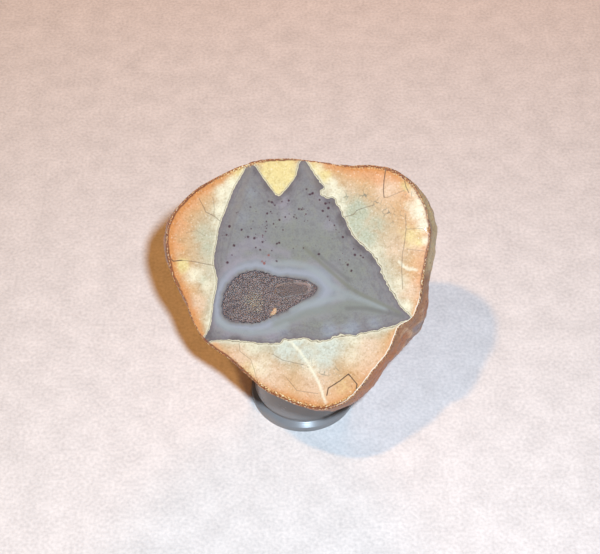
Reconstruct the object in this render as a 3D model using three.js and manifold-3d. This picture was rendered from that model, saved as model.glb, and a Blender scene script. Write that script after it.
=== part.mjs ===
// Half a thunder egg, cut and polished, leaning back on a small ring stand. Millimetres, +Z up.
// The face looks towards -Y and up. The origin is under the middle of the whole, on the surface it stands on.
import * as THREE from "three";
import { mergeVertices } from "three/addons/utils/BufferGeometryUtils.js";
import Module from "manifold-3d";

// ---------- driving dimensions ----------

// The polished face: how it leans, and where its middle is above the stand's axis.
const FACE_LEAN = THREE.MathUtils.degToRad(40); // back from level
const FACE_TURN = THREE.MathUtils.degToRad(-5); // towards -X
const FACE_MIDDLE = new THREE.Vector3(-0.3, -1, 58);

// The stone seen square to its face: an angle round the middle in degrees, how far the polished face reaches
// there, and how far the stone reaches at its widest, below the face.
const REACH = [
  [0, 36.5, 39.9],
  [10, 37.8, 42],
  [22, 41.5, 45],
  [38, 43.8, 46.3],
  [50, 43.3, 44.8],
  [60, 40.2, 40.9],
  [70, 37.4, 38.2],
  [85, 36.7, 37.3],
  [100, 38.2, 38.9],
  [120, 40.2, 41],
  [134, 41.6, 42.3],
  [146, 44.2, 45.4],
  [154, 45, 47.8],
  [163, 43.7, 48],
  [173, 41, 45],
  [185, 38.1, 39.9],
  [200, 36.5, 37.8],
  [212, 35.7, 37],
  [228, 34.3, 34.9],
  [243, 35.3, 35.8],
  [260, 37.4, 38.1],
  [278, 40, 42],
  [290, 38.8, 44.6],
  [302, 36.6, 42],
  [314, 34.8, 38.2],
  [328, 32.3, 39],
  [335, 31.8, 40.4],
  [340, 34.6, 41],
  [350, 35.9, 40],
];
const STONE_DEPTH = 40; // from the face to the deepest point of the back
const FACE_BEVEL = 0.5; // the edge that the grinding wheel eased
const RIND_ROLL = 26; // degrees below the face over which the stone swells from the face to its widest

// The knobs and hollows of the back: angle round the middle, angle down from the face (90 is straight down
// the back), spread, all in degrees, and height in millimetres, negative for a hollow.
const KNOBS = [
  [8, 24, 11, 1.8],
  [34, 30, 13, 3],
  [62, 24, 11, -2],
  [86, 34, 14, 2.8],
  [114, 22, 11, 1.9],
  [138, 34, 13, 2.8],
  [166, 20, 11, 1.4],
  [180, 44, 13, -2.2],
  [203, 26, 11, 2],
  [228, 50, 16, 1.8],
  [296, 46, 15, -2],
  [284, 31, 14, -2.3],
  [238, 33, 14, 1.5],
  [324, 24, 10, 1.6],
  [346, 46, 13, -2.2],
  [12, 60, 13, 2.6],
  [58, 60, 12, 2],
  [100, 58, 13, -2.4],
  [148, 62, 13, 2.4],
  [20, 42, 6, 1.3],
  [48, 46, 6, 1.4],
  [72, 46, 6, 1.2],
  [104, 38, 6, 1.3],
  [122, 48, 6.5, 1.4],
  [156, 42, 6, 1.3],
  [170, 60, 6.5, 1.2],
  [192, 30, 6, 1.1],
  [340, 30, 6.5, 1.2],
  [90, 76, 7, 1.3],
  [36, 70, 6.5, 1.2],
];
const RIBS = { count: 9, height: 0.7, twist: 0.9 }; // low ribs that run from the face to the back
const STONE_SIDES = 88;
const STONE_RINGS = 24;
const LAST_RING = 87.5; // degrees below the face, where a small fan closes the back

// The hollow in the agate: middle on the face, how far its rim reaches at each angle, and its depth.
const POCKET_MIDDLE = [-13.6, -5.2];
const POCKET_REACH = [
  [5, 17.6],
  [11, 18.2],
  [18, 15.8],
  [30, 11.6],
  [50, 8.4],
  [75, 7.8],
  [100, 8.2],
  [130, 9],
  [155, 10],
  [180, 11],
  [205, 12.3],
  [218, 11.6],
  [240, 9.2],
  [265, 8.1],
  [290, 7.3],
  [315, 7.6],
  [335, 9.6],
  [352, 12.6],
];
const POCKET_DEPTH = 5.2;
const POCKET_SIDES = 36;

// The quartz crystals that line the hollow.
const CRUST = { gap: 0.55, thickness: 1.4, sink: 0.5 };
const CRYSTAL = { spacing: 2.4, widest: 1.3, slimmest: 0.8, tallest: 1.6, shortest: 0.6 };
const CRYSTAL_ROWS = 6; // each way from the middle
const CRYSTAL_COLUMNS = 9;
const CRYSTAL_EDGE = 0.96; // the share of the hollow's reach past which none stands

// The ring stand: outer sizes from the foot up.
const STAND = {
  height: 20.35,
  bore: 28.8,
  body: 33,
  foot: 35,
  footHeight: 4.8,
  groove: 0.9,
  grooveDepth: 0.7,
};
const STAND_SIDES = 48;

// ---------- finishes ----------

const rhyolite = new THREE.MeshStandardMaterial({ color: 0xb9764a, roughness: 0.45, metalness: 0 });
const quartz = new THREE.MeshStandardMaterial({ color: 0x857b74, roughness: 0.2, metalness: 0 });
const greyPlastic = new THREE.MeshStandardMaterial({ color: 0x96969a, roughness: 0.35, metalness: 0 });

// ---------- solids ----------

const wasm = await Module();
wasm.setup();

// A closed geometry as a solid that can be joined or cut.
function solid(geometry) {
  const bare = geometry.clone();
  bare.deleteAttribute("normal");
  bare.deleteAttribute("uv");
  const merged = mergeVertices(bare, 1e-4);
  return new wasm.Manifold(
    new wasm.Mesh({
      numProp: 3,
      vertProperties: new Float32Array(merged.attributes.position.array),
      triVerts: new Uint32Array(merged.index.array),
    }),
  );
}

// A solid as a geometry again.
function geometryOf(body) {
  const mesh = body.getMesh();
  const geometry = new THREE.BufferGeometry();
  geometry.setAttribute("position", new THREE.BufferAttribute(mesh.vertProperties, 3));
  geometry.setIndex(new THREE.BufferAttribute(mesh.triVerts, 1));
  const flat = geometry.toNonIndexed();
  flat.computeVertexNormals();
  return flat;
}

// A named piece of the object.
function piece(name, geometry, material) {
  const mesh = new THREE.Mesh(geometry, material);
  mesh.name = name;
  return mesh;
}

// ---------- curves round a middle ----------

// The value at an angle of a closed run of [degrees, value] rows, on a smooth curve through them.
function around(rows, degrees, column = 1) {
  const n = rows.length;
  const turn = THREE.MathUtils.euclideanModulo(degrees - rows[0][0], 360) + rows[0][0];
  let i = n - 1;
  while (i > 0 && rows[i][0] > turn) {
    i -= 1;
  }
  const row = (k) => {
    const lap = Math.floor(k / n);
    const r = rows[k - lap * n];
    return [r[0] + 360 * lap, r[column]];
  };
  const [p0, p1, p2, p3] = [row(i - 1), row(i), row(i + 1), row(i + 2)];
  const t = (turn - p1[0]) / (p2[0] - p1[0]);
  const slope1 = ((p2[1] - p0[1]) / (p2[0] - p0[0])) * (p2[0] - p1[0]);
  const slope2 = ((p3[1] - p1[1]) / (p3[0] - p1[0])) * (p2[0] - p1[0]);
  const a = 2 * t ** 3 - 3 * t ** 2 + 1;
  const b = t ** 3 - 2 * t ** 2 + t;
  const c = -2 * t ** 3 + 3 * t ** 2;
  const d = t ** 3 - t ** 2;
  return a * p1[1] + b * slope1 + c * p2[1] + d * slope2;
}

// A closed geometry from rings of points, each ring one level down, with a fan on the first and the last.
function closedRings(rings) {
  const sides = rings[0].length;
  const points = rings.flat();
  const top = points.length;
  const bottom = top + 1;
  const middleOf = (ring) =>
    ring.reduce((sum, p) => sum.add(p), new THREE.Vector3()).divideScalar(sides);
  points.push(middleOf(rings[0]), middleOf(rings[rings.length - 1]));
  const index = [];
  for (let r = 0; r < rings.length - 1; r += 1) {
    for (let s = 0; s < sides; s += 1) {
      const a = r * sides + s;
      const b = r * sides + ((s + 1) % sides);
      index.push(a, a + sides, b, b, a + sides, b + sides);
    }
  }
  const last = (rings.length - 1) * sides;
  for (let s = 0; s < sides; s += 1) {
    const next = (s + 1) % sides;
    index.push(top, s, next, bottom, last + next, last + s);
  }
  const geometry = new THREE.BufferGeometry().setFromPoints(points);
  geometry.setIndex(index);
  return geometry;
}

// ---------- the stone ----------

const radians = THREE.MathUtils.degToRad;

// The angle between two directions given as round and down angles in degrees.
function spread(roundA, downA, roundB, downB) {
  const direction = (round, down) =>
    new THREE.Vector3(
      Math.cos(radians(round)) * Math.cos(radians(down)),
      Math.sin(radians(round)) * Math.cos(radians(down)),
      -Math.sin(radians(down)),
    );
  return THREE.MathUtils.radToDeg(direction(roundA, downA).angleTo(direction(roundB, downB)));
}

// How far the knobs, hollows and ribs raise the back at a direction. They fade out at the face.
function relief(round, down) {
  const knobs = KNOBS.reduce((sum, [r, d, width, height]) => {
    const away = spread(round, down, r, d) / width;
    return sum + height * Math.exp(-away * away);
  }, 0);
  const wave = Math.cos(radians(RIBS.count * (round + RIBS.twist * down)));
  const ribs = RIBS.height * wave * Math.cos(radians(down)) ** 2;
  const fade = THREE.MathUtils.smoothstep(down, 0, 14);
  return fade * (knobs + ribs);
}

// A point of the back, in the face's own frame: x and y on the face, z out of it.
function stonePoint(round, down) {
  const face = around(REACH, round, 1);
  const widest = around(REACH, round, 2);
  const swell = 1 - (1 - THREE.MathUtils.clamp(down / RIND_ROLL, 0, 1)) ** 2;
  const across = Math.cos(radians(down)) / (face + (widest - face) * swell);
  const deep = Math.sin(radians(down)) / STONE_DEPTH;
  const reach = 1 / Math.hypot(across, deep) + relief(round, down);
  return new THREE.Vector3(
    reach * Math.cos(radians(down)) * Math.cos(radians(round)),
    reach * Math.cos(radians(down)) * Math.sin(radians(round)),
    -reach * Math.sin(radians(down)),
  );
}

function stoneBlank() {
  const rounds = Array.from({ length: STONE_SIDES }, (_, s) => (360 * s) / STONE_SIDES);
  const edge = rounds.map((round) => {
    const reach = around(REACH, round, 1) - FACE_BEVEL;
    return new THREE.Vector3(reach * Math.cos(radians(round)), reach * Math.sin(radians(round)), 0);
  });
  const rings = [edge];
  const bevelled = THREE.MathUtils.radToDeg(FACE_BEVEL / REACH[0][1]);
  for (let r = 0; r < STONE_RINGS; r += 1) {
    const down = THREE.MathUtils.lerp(bevelled, LAST_RING, r / (STONE_RINGS - 1));
    rings.push(rounds.map((round) => stonePoint(round, down)));
  }
  return closedRings(rings);
}

// ---------- the hollow and its crystals ----------

// The hollow's rim at a share of its reach, at a height over the face, drawn in by an even margin.
function pocketRing(share, height, margin = 0) {
  return Array.from({ length: POCKET_SIDES }, (_, s) => {
    const round = (360 * s) / POCKET_SIDES;
    const reach = (around(POCKET_REACH, round) - margin) * share;
    return new THREE.Vector3(
      POCKET_MIDDLE[0] + reach * Math.cos(radians(round)),
      POCKET_MIDDLE[1] + reach * Math.sin(radians(round)),
      height,
    );
  });
}

// The floor of the hollow, from its rim to its middle: a steep side that rounds into a shallow dish.
const DISH = [
  [1, 0],
  [0.965, 0.3],
  [0.9, 0.55],
  [0.78, 0.76],
  [0.58, 0.9],
  [0.3, 0.98],
];

// A share of the hollow's reach lies this deep, as a share of the full depth.
function dishDepth(share) {
  const outer = DISH.findIndex(([s], k) => k === DISH.length - 1 || (share <= s && share > DISH[k + 1][0]));
  const next = Math.min(outer + 1, DISH.length - 1);
  const t = outer === next ? 0 : (DISH[outer][0] - share) / (DISH[outer][0] - DISH[next][0]);
  return THREE.MathUtils.lerp(DISH[outer][1], DISH[next][1], t);
}

// The hollow as a solid, drawn in all round by a margin, up to a height over the face.
function pocketSolid(margin, top) {
  const rings = [pocketRing(1, top, margin)];
  DISH.forEach(([share, depth]) => {
    const height = -depth * (POCKET_DEPTH - margin);
    if (height < top) {
      rings.push(pocketRing(share, height, margin));
    }
  });
  return solid(closedRings(rings));
}

// The sheet of quartz that the crystals stand on.
function crustSheet() {
  const inner = CRUST.gap + CRUST.thickness;
  const top = DISH.map(([share, depth]) =>
    pocketRing(share, -CRUST.sink - depth * (POCKET_DEPTH - CRUST.sink - inner), inner),
  );
  const under = DISH.map(([share, depth]) =>
    pocketRing(share, -CRUST.sink - depth * (POCKET_DEPTH - CRUST.sink - CRUST.gap), CRUST.gap),
  );
  return solid(closedRings([...top.reverse(), ...under]));
}

// One quartz crystal along +Z: a six-sided prism from z = -root to its shoulder, and a six-sided point.
function crystalSolid(radius, root, shoulder, point) {
  const ring = (height) =>
    Array.from({ length: 6 }, (_, s) => {
      const turn = (Math.PI / 3) * s;
      return new THREE.Vector3(radius * Math.cos(turn), radius * Math.sin(turn), height);
    });
  const tip = ring(shoulder).map((p) => p.multiplyScalar(0.06).setZ(shoulder + point));
  return closedRings([tip, ring(shoulder), ring(-root)]);
}

// A fixed run of numbers from 0 to 1 that look random.
function scatter(seed) {
  let state = seed;
  return () => {
    state = (state * 16807) % 2147483647;
    return state / 2147483647;
  };
}

function crystalField() {
  const random = scatter(71);
  const rowStep = CRYSTAL.spacing * Math.sin(Math.PI / 3);
  const crystals = [];
  for (let row = -CRYSTAL_ROWS; row <= CRYSTAL_ROWS; row += 1) {
    for (let column = -CRYSTAL_COLUMNS; column <= CRYSTAL_COLUMNS; column += 1) {
      const x = (column + (row % 2) / 2 + 0.5 * (random() - 0.5)) * CRYSTAL.spacing;
      const y = (row + 0.4 * (random() - 0.5)) * rowStep;
      const size = random();
      const twist = random() * Math.PI;
      const sway = new THREE.Vector2(random() - 0.5, random() - 0.5);
      const round = THREE.MathUtils.radToDeg(Math.atan2(y, x));
      const share = Math.hypot(x, y) / (around(POCKET_REACH, round) - CRUST.gap);
      if (share > CRYSTAL_EDGE) {
        continue;
      }
      const inner = CRUST.gap + CRUST.thickness;
      const floor = -CRUST.sink - dishDepth(share) * (POCKET_DEPTH - CRUST.sink - inner);
      const radius = THREE.MathUtils.lerp(CRYSTAL.slimmest, CRYSTAL.widest, size);
      const height = THREE.MathUtils.lerp(CRYSTAL.shortest, CRYSTAL.tallest, size) * (1 - 0.3 * share);
      const lean = 0.8 * share * share;
      const axis = new THREE.Vector3(
        -lean * Math.cos(radians(round)) + 0.4 * sway.x,
        -lean * Math.sin(radians(round)) + 0.4 * sway.y,
        1,
      ).normalize();
      const geometry = crystalSolid(radius, CRUST.thickness * 0.6, height * 0.3, height * 0.7);
      geometry.rotateZ(twist);
      geometry.applyQuaternion(
        new THREE.Quaternion().setFromUnitVectors(new THREE.Vector3(0, 0, 1), axis),
      );
      geometry.translate(POCKET_MIDDLE[0] + x, POCKET_MIDDLE[1] + y, floor);
      crystals.push(solid(geometry));
    }
  }
  return crystals;
}

function crustSolid() {
  const grown = crystalField().reduce((body, crystal) => body.add(crystal), crustSheet());
  return grown.intersect(pocketSolid(CRUST.gap, -CRUST.sink * 0.6));
}

// ---------- the stand ----------

// Half the ring's section, closed on itself: foot, groove, body and lip outside, plain bore inside.
function standSection() {
  const bore = STAND.bore / 2;
  const body = STAND.body / 2;
  const foot = STAND.foot / 2;
  const ease = 0.6;
  const grooveTop = STAND.footHeight + STAND.groove;
  return [
    [bore + ease / 2, 0],
    [foot - 1.6, 0],
    [foot - 0.5, 0.5],
    [foot, 1.7],
    [foot, STAND.footHeight - 1.5],
    [foot - 0.4, STAND.footHeight - 0.4],
    [foot - 1, STAND.footHeight],
    [body - STAND.grooveDepth, STAND.footHeight],
    [body - STAND.grooveDepth, grooveTop - 0.3],
    [body, grooveTop],
    [body, STAND.height - ease],
    [body - ease, STAND.height],
    [bore + ease, STAND.height],
    [bore, STAND.height - ease],
    [bore, ease / 2],
    [bore + ease / 2, 0],
  ].map(([across, up]) => new THREE.Vector2(across, up));
}

function standGeometry() {
  return new THREE.LatheGeometry(standSection(), STAND_SIDES).rotateX(Math.PI / 2);
}

// ---------- the object ----------

const stone = solid(stoneBlank()).subtract(pocketSolid(0, 1));

const specimen = new THREE.Group();
specimen.add(
  piece("thunder_egg_half", geometryOf(stone), rhyolite),
  piece("crystal_crust", geometryOf(crustSolid()), quartz),
);
specimen.rotation.set(FACE_LEAN, FACE_TURN, 0);
specimen.position.copy(FACE_MIDDLE);

const object = new THREE.Group();
object.add(specimen, piece("ring_stand", standGeometry(), greyPlastic));

// The origin goes under the middle of the whole.
const box = new THREE.Box3().setFromObject(object, true);
const middle = box.getCenter(new THREE.Vector3());
object.position.set(-middle.x, -middle.y, -box.min.z);

export default object;
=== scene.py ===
"""Half a polished thunder egg leaning on a ring stand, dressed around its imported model."""

import math
from functools import partial

import bmesh
import bpy
import numpy as np
from bpy.props import FloatProperty, FloatVectorProperty, IntProperty, PointerProperty
from mathutils import Matrix, Vector
from mathutils.bvhtree import BVHTree
from mathutils.geometry import delaunay_2d_cdt


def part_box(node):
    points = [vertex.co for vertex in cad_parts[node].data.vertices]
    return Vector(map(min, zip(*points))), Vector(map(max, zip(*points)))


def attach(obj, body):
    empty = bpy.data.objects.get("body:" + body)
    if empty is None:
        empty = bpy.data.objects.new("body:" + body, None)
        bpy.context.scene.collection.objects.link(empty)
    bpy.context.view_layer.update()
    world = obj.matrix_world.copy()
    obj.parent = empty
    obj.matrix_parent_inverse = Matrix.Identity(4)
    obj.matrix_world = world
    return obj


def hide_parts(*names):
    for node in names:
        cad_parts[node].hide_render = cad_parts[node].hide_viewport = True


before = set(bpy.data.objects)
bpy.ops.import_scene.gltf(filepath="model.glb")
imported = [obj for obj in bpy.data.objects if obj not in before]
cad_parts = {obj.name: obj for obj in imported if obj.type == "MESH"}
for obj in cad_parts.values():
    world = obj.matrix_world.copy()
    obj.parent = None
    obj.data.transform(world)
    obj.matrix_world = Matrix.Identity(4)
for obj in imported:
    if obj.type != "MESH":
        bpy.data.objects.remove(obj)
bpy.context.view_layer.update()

bl_info = {
    "name": "Thunder Egg",
    "version": (1, 0, 0),
    "blender": (4, 5, 0),
    "location": "View3D > Sidebar > Thunder Egg",
    "description": "Builds the cut stone, its crystals, its stand and a small studio",
    "category": "Object",
}

MM = 0.001

# ---------- where the polished face is ----------

FACE_LEAN = math.radians(40)  # back from level
FACE_TURN = math.radians(-5)  # towards -X
FACE_MIDDLE = Vector((-0.3, -1.0, 58.0)) * MM  # from the stand's axis, on the floor
TURN = Matrix.Rotation(FACE_LEAN, 3, "X") @ Matrix.Rotation(FACE_TURN, 3, "Y")
AXES = np.array(TURN)  # columns: across the face, up the face, out of the face


def stand_axis():
    """The middle of the ring stand, on the floor."""
    low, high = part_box("ring_stand")
    return Vector(((low.x + high.x) / 2, (low.y + high.y) / 2, 0.0))


MIDDLE = stand_axis() + FACE_MIDDLE

# ---------- the cut: outlines in millimetres on the face, from its middle ----------

# The agate star, round from the top of its left arm: left wall, bottom wall, right wall, and the notch at
# the top.
LEFT_WALL = [(-16.5, 36.6), (-19.4, 31.4), (-21.5, 27.9), (-22.7, 24.7), (-23.9, 21.7), (-25.4, 17.9),
             (-26.3, 15.0), (-26.6, 12.0), (-27.2, 9.1), (-27.7, 5.6), (-27.2, 3.0), (-26.6, 1.1),
             (-26.5, -1.2), (-27.1, -4.2), (-27.7, -7.4), (-28.4, -13.9), (-30.9, -19.7)]
BOTTOM_WALL = [(-29.4, -19.3), (-26.4, -18.5), (-22.0, -18.5), (-17.5, -18.9), (-13.1, -19.4),
               (-8.7, -19.4), (-6.3, -18.8), (-5.4, -18.0), (-4.5, -18.2), (-2.1, -17.8), (0.7, -17.8),
               (3.2, -18.4), (5.1, -18.7), (7.9, -18.1), (10.1, -17.1), (13.2, -16.5), (14.4, -17.0),
               (17.9, -16.2), (22.5, -15.2), (26.6, -14.1), (30.3, -12.9), (33.6, -11.4)]
RIGHT_WALL = [(30.6, -9.0), (29.1, -6.8), (27.5, -4.3), (26.0, -1.9), (25.2, 0.0), (23.9, 2.0), (24.0, 3.2),
              (22.9, 5.3), (21.1, 8.0), (18.1, 10.7), (15.7, 12.8), (13.9, 15.8), (12.7, 18.9),
              (10.5, 22.8), (9.2, 25.2), (7.4, 25.0), (6.0, 25.6), (5.0, 26.4), (5.3, 27.6), (6.4, 28.2),
              (5.4, 29.8), (3.3, 32.5), (0.6, 36.8)]
NOTCH = [(-1.2, 36.4), (-2.4, 31.2), (-5.6, 27.4), (-7.8, 25.3), (-11.8, 30.5), (-15.6, 36.2)]
AGATE = LEFT_WALL + BOTTOM_WALL + RIGHT_WALL + NOTCH

# The hollow's rim round its own middle: degrees, reach. Then its floor: share of the way to the rim, share
# of the depth.
HOLLOW_MIDDLE = (-13.6, -5.2)
HOLLOW_REACH = [(5, 17.6), (11, 18.2), (18, 15.8), (30, 11.6), (50, 8.4), (75, 7.8), (100, 8.2), (130, 9),
                (155, 10), (180, 11), (205, 12.3), (218, 11.6), (240, 9.2), (265, 8.1), (290, 7.3),
                (315, 7.6), (335, 9.6), (352, 12.6)]
HOLLOW_DISH = [(1, 0), (0.965, 0.3), (0.9, 0.55), (0.78, 0.76), (0.58, 0.9), (0.3, 0.98)]
HOLLOW_SIDES = 200  # points on its rim

# Streaks in the agate, which run beside its walls and into its right corner.
STREAKS = {
    "tan": [[(-16.2, 36.2), (-17, 33.4), (-18.5, 27.8), (-19.9, 23.7), (-21.5, 19), (-22.7, 16.4)],
            [(0.2, 36.2), (1.4, 33), (4.4, 29)]],
    "pinkish": [[(-22.5, 0.9), (-21.3, 4.9), (-19.4, 8.6), (-16.3, 10.7), (-12.6, 10.7), (-8.6, 9.5),
                 (-4.9, 8)],
                [(-23.7, 3.7), (-22.2, 7.4), (-19.7, 10.1), (-16.3, 12.3), (-12.6, 12.3)]],
    "sage": [[(-8, -13.4), (-4, -12), (0.4, -10.2), (4.4, -9.3), (9.6, -8.6), (14.9, -7.6), (18.7, -7.9),
              (22.9, -9.3)]],
    "bright": [[(-26, -12.5), (-23, -15), (-17, -16.3), (-10, -15.8), (-5, -13.6)],
               [(10.7, -4.4), (14.5, -4.8), (18.7, -6.1), (22.9, -7.5), (25, -8.4)],
               [(-3, -8.5), (4.4, -6.6), (9.6, -5.5), (14.5, -4.8)],
               [(-9, 5), (-3.3, 5.2), (0.8, 4.4), (4, 2.6), (9.6, -2.3), (14.5, -4.8)]],
    "olive": [[(0.4, 9.9), (2.5, 8.1), (5.1, 5.6), (8.6, 2.6), (12.4, -0.8), (14, -2), (17.6, -4.3),
               (21.8, -6.2), (25.9, -8.1), (29.5, -9.9)]],
    "shade": [[(13.5, -8.6), (18.7, -8.4), (23.6, -9.5), (27.1, -10.2), (30.6, -11)],
              [(3.5, 8.9), (6.3, 6.2), (10, 3.2), (14, 0)]],
}

# Specks of iron oxide in the agate, red ones over the hollow, and dark dots on its left wall.
SPECKS = [(-14.9, 27.2), (-16.2, 22.3), (-14.5, 21.0), (-10.6, 24.1), (-9.6, 23.8), (-8.7, 22.9),
          (-6.5, 24.0), (-4.4, 24.3), (-4.8, 23.4), (-20.6, 20.6), (-20.1, 20.8), (-11.1, 20.4),
          (-10.0, 20.9), (-4.3, 20.2), (-2.6, 20.0), (-2.9, 19.3), (-2.1, 18.9), (-5.5, 19.3), (-7.3, 18.4),
          (-15.4, 18.0), (-11.3, 17.9), (-11.1, 16.8), (-9.1, 17.2), (-8.4, 16.2), (-6.2, 15.3),
          (-11.3, 15.8), (-16.0, 15.7), (-19.0, 15.4), (-22.7, 16.4), (-14.6, 14.0), (-4.6, 14.0),
          (-17.8, 13.1), (-17.0, 13.2), (-15.0, 12.8), (-14.2, 12.9), (-12.5, 11.6), (-11.5, 12.1),
          (-8.1, 11.1), (-7.3, 11.4), (-21.3, 10.6), (-14.6, 9.9), (-13.2, 9.2), (-9.6, 9.0), (-8.1, 5.7),
          (-19.8, 8.6), (-21.9, 7.6), (-23.3, 5.3), (-24.9, 13.6), (-23.6, 13.8), (-1.3, 21.7),
          (-0.5, 21.6), (0.2, 21.7), (1.4, 21.2), (0.5, 19.7), (0.4, 18.0), (1.4, 18.1), (1.0, 27.8),
          (2.1, 26.2), (2.9, 26.5), (5.0, 24.5), (6.8, 23.4), (8.0, 23.6), (7.7, 22.0), (6.0, 21.1),
          (7.5, 19.4), (8.1, 18.3), (9.6, 16.7), (10.1, 15.4), (11.0, 14.6), (12.2, 13.1), (8.9, 12.6),
          (-3.0, 9.7), (0.1, 9.8), (3.9, 10.6), (4.8, 7.9), (15.4, 9.5), (15.8, 7.7), (17.6, 7.5),
          (18.4, 6.9), (13.7, 4.7), (14.8, 2.9)]
RED_SPECKS = [(-10.6, 7.6), (-12.6, 5.7), (-11.9, 5.1)]
EDGE_DOTS = [(-27.5, 4.2), (-28.5, -11.6)]

# Cracks: darkness, half width, points.
CRACKS = [
    (1.0, 0.16, [(-42.0, 15.0), (-42.2, 11.0), (-41.7, 7.6), (-40.2, 5.7), (-37.5, 6.0)]),
    (0.6, 0.12, [(-37.5, 6.0), (-34.3, 5.7), (-30.7, 5.0), (-27.6, 4.4)]),
    (0.55, 0.13, [(-32.2, 25.0), (-30.7, 22.3), (-30.1, 20.9), (-27.2, 19.4), (-25.6, 18.0)]),
    (0.3, 0.16, [(-27.9, 25.3), (-27.4, 22.3), (-27.6, 19.7)]),
    (0.85, 0.16, [(25.3, 34.6), (24.7, 30.5), (24.5, 27.5), (24.7, 25.1)]),
    (0.4, 0.15, [(24.7, 25.1), (26.2, 25.4), (30.4, 27.2)]),
    (0.5, 0.14, [(12.8, 19.3), (15.4, 20.0), (16.3, 21.2), (19.0, 22.2), (21.7, 22.9)]),
    (0.5, 0.14, [(31.3, 19.7), (31.4, 15.5), (30.9, 11.0), (30.3, 8.0), (30.1, 3.5), (30.4, -2.6)]),
    (0.4, 0.12, [(31.6, 15.5), (35.8, 15.8), (38.8, 14.8)]),
    (0.4, 0.12, [(31.6, 9.5), (37.0, 8.9)]),
    (1.0, 0.17, [(7.4, -35.2), (7.8, -33.0), (11.3, -30.8), (14.0, -28.6), (16.6, -31.7), (16.3, -33.3)]),
    (0.4, 0.12, [(-19.6, -19.5), (-19.4, -21.9), (-16.0, -24.5), (-14.9, -27.7), (-14.3, -30.1)]),
    (0.5, 0.12, [(-9.3, -22.7), (-6.3, -24.5), (-2.8, -25.3), (0.2, -25.9)]),
    (0.45, 0.12, [(-5.0, -29.9), (-1.8, -33.8), (4.7, -34.7)]),
    (0.8, 0.15, [(-39.4, 0.6), (-37, -4.2), (-35, -10), (-33.3, -14.2), (-31.6, -16.9), (-31.0, -19.0)]),
    (0.7, 0.15, [(30.8, 30.9), (31.3, 28.6), (32.2, 26.6)]),
    (0.3, 0.12, [(-30.3, 13.5), (-32.7, 15.1), (-36.2, 14.5)]),
]

# Pale veins of chalcedony in the rhyolite.
VEINS = [[(-4.0, -18.7), (-0.9, -21.8), (1.7, -25.6), (3.5, -28.7), (5.1, -31.8), (7.0, -37.4)],
         [(29.2, 5.7), (30.6, 4.3), (32.2, 3.4), (33.4, 3.4), (34.6, 3.1)]]

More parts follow.
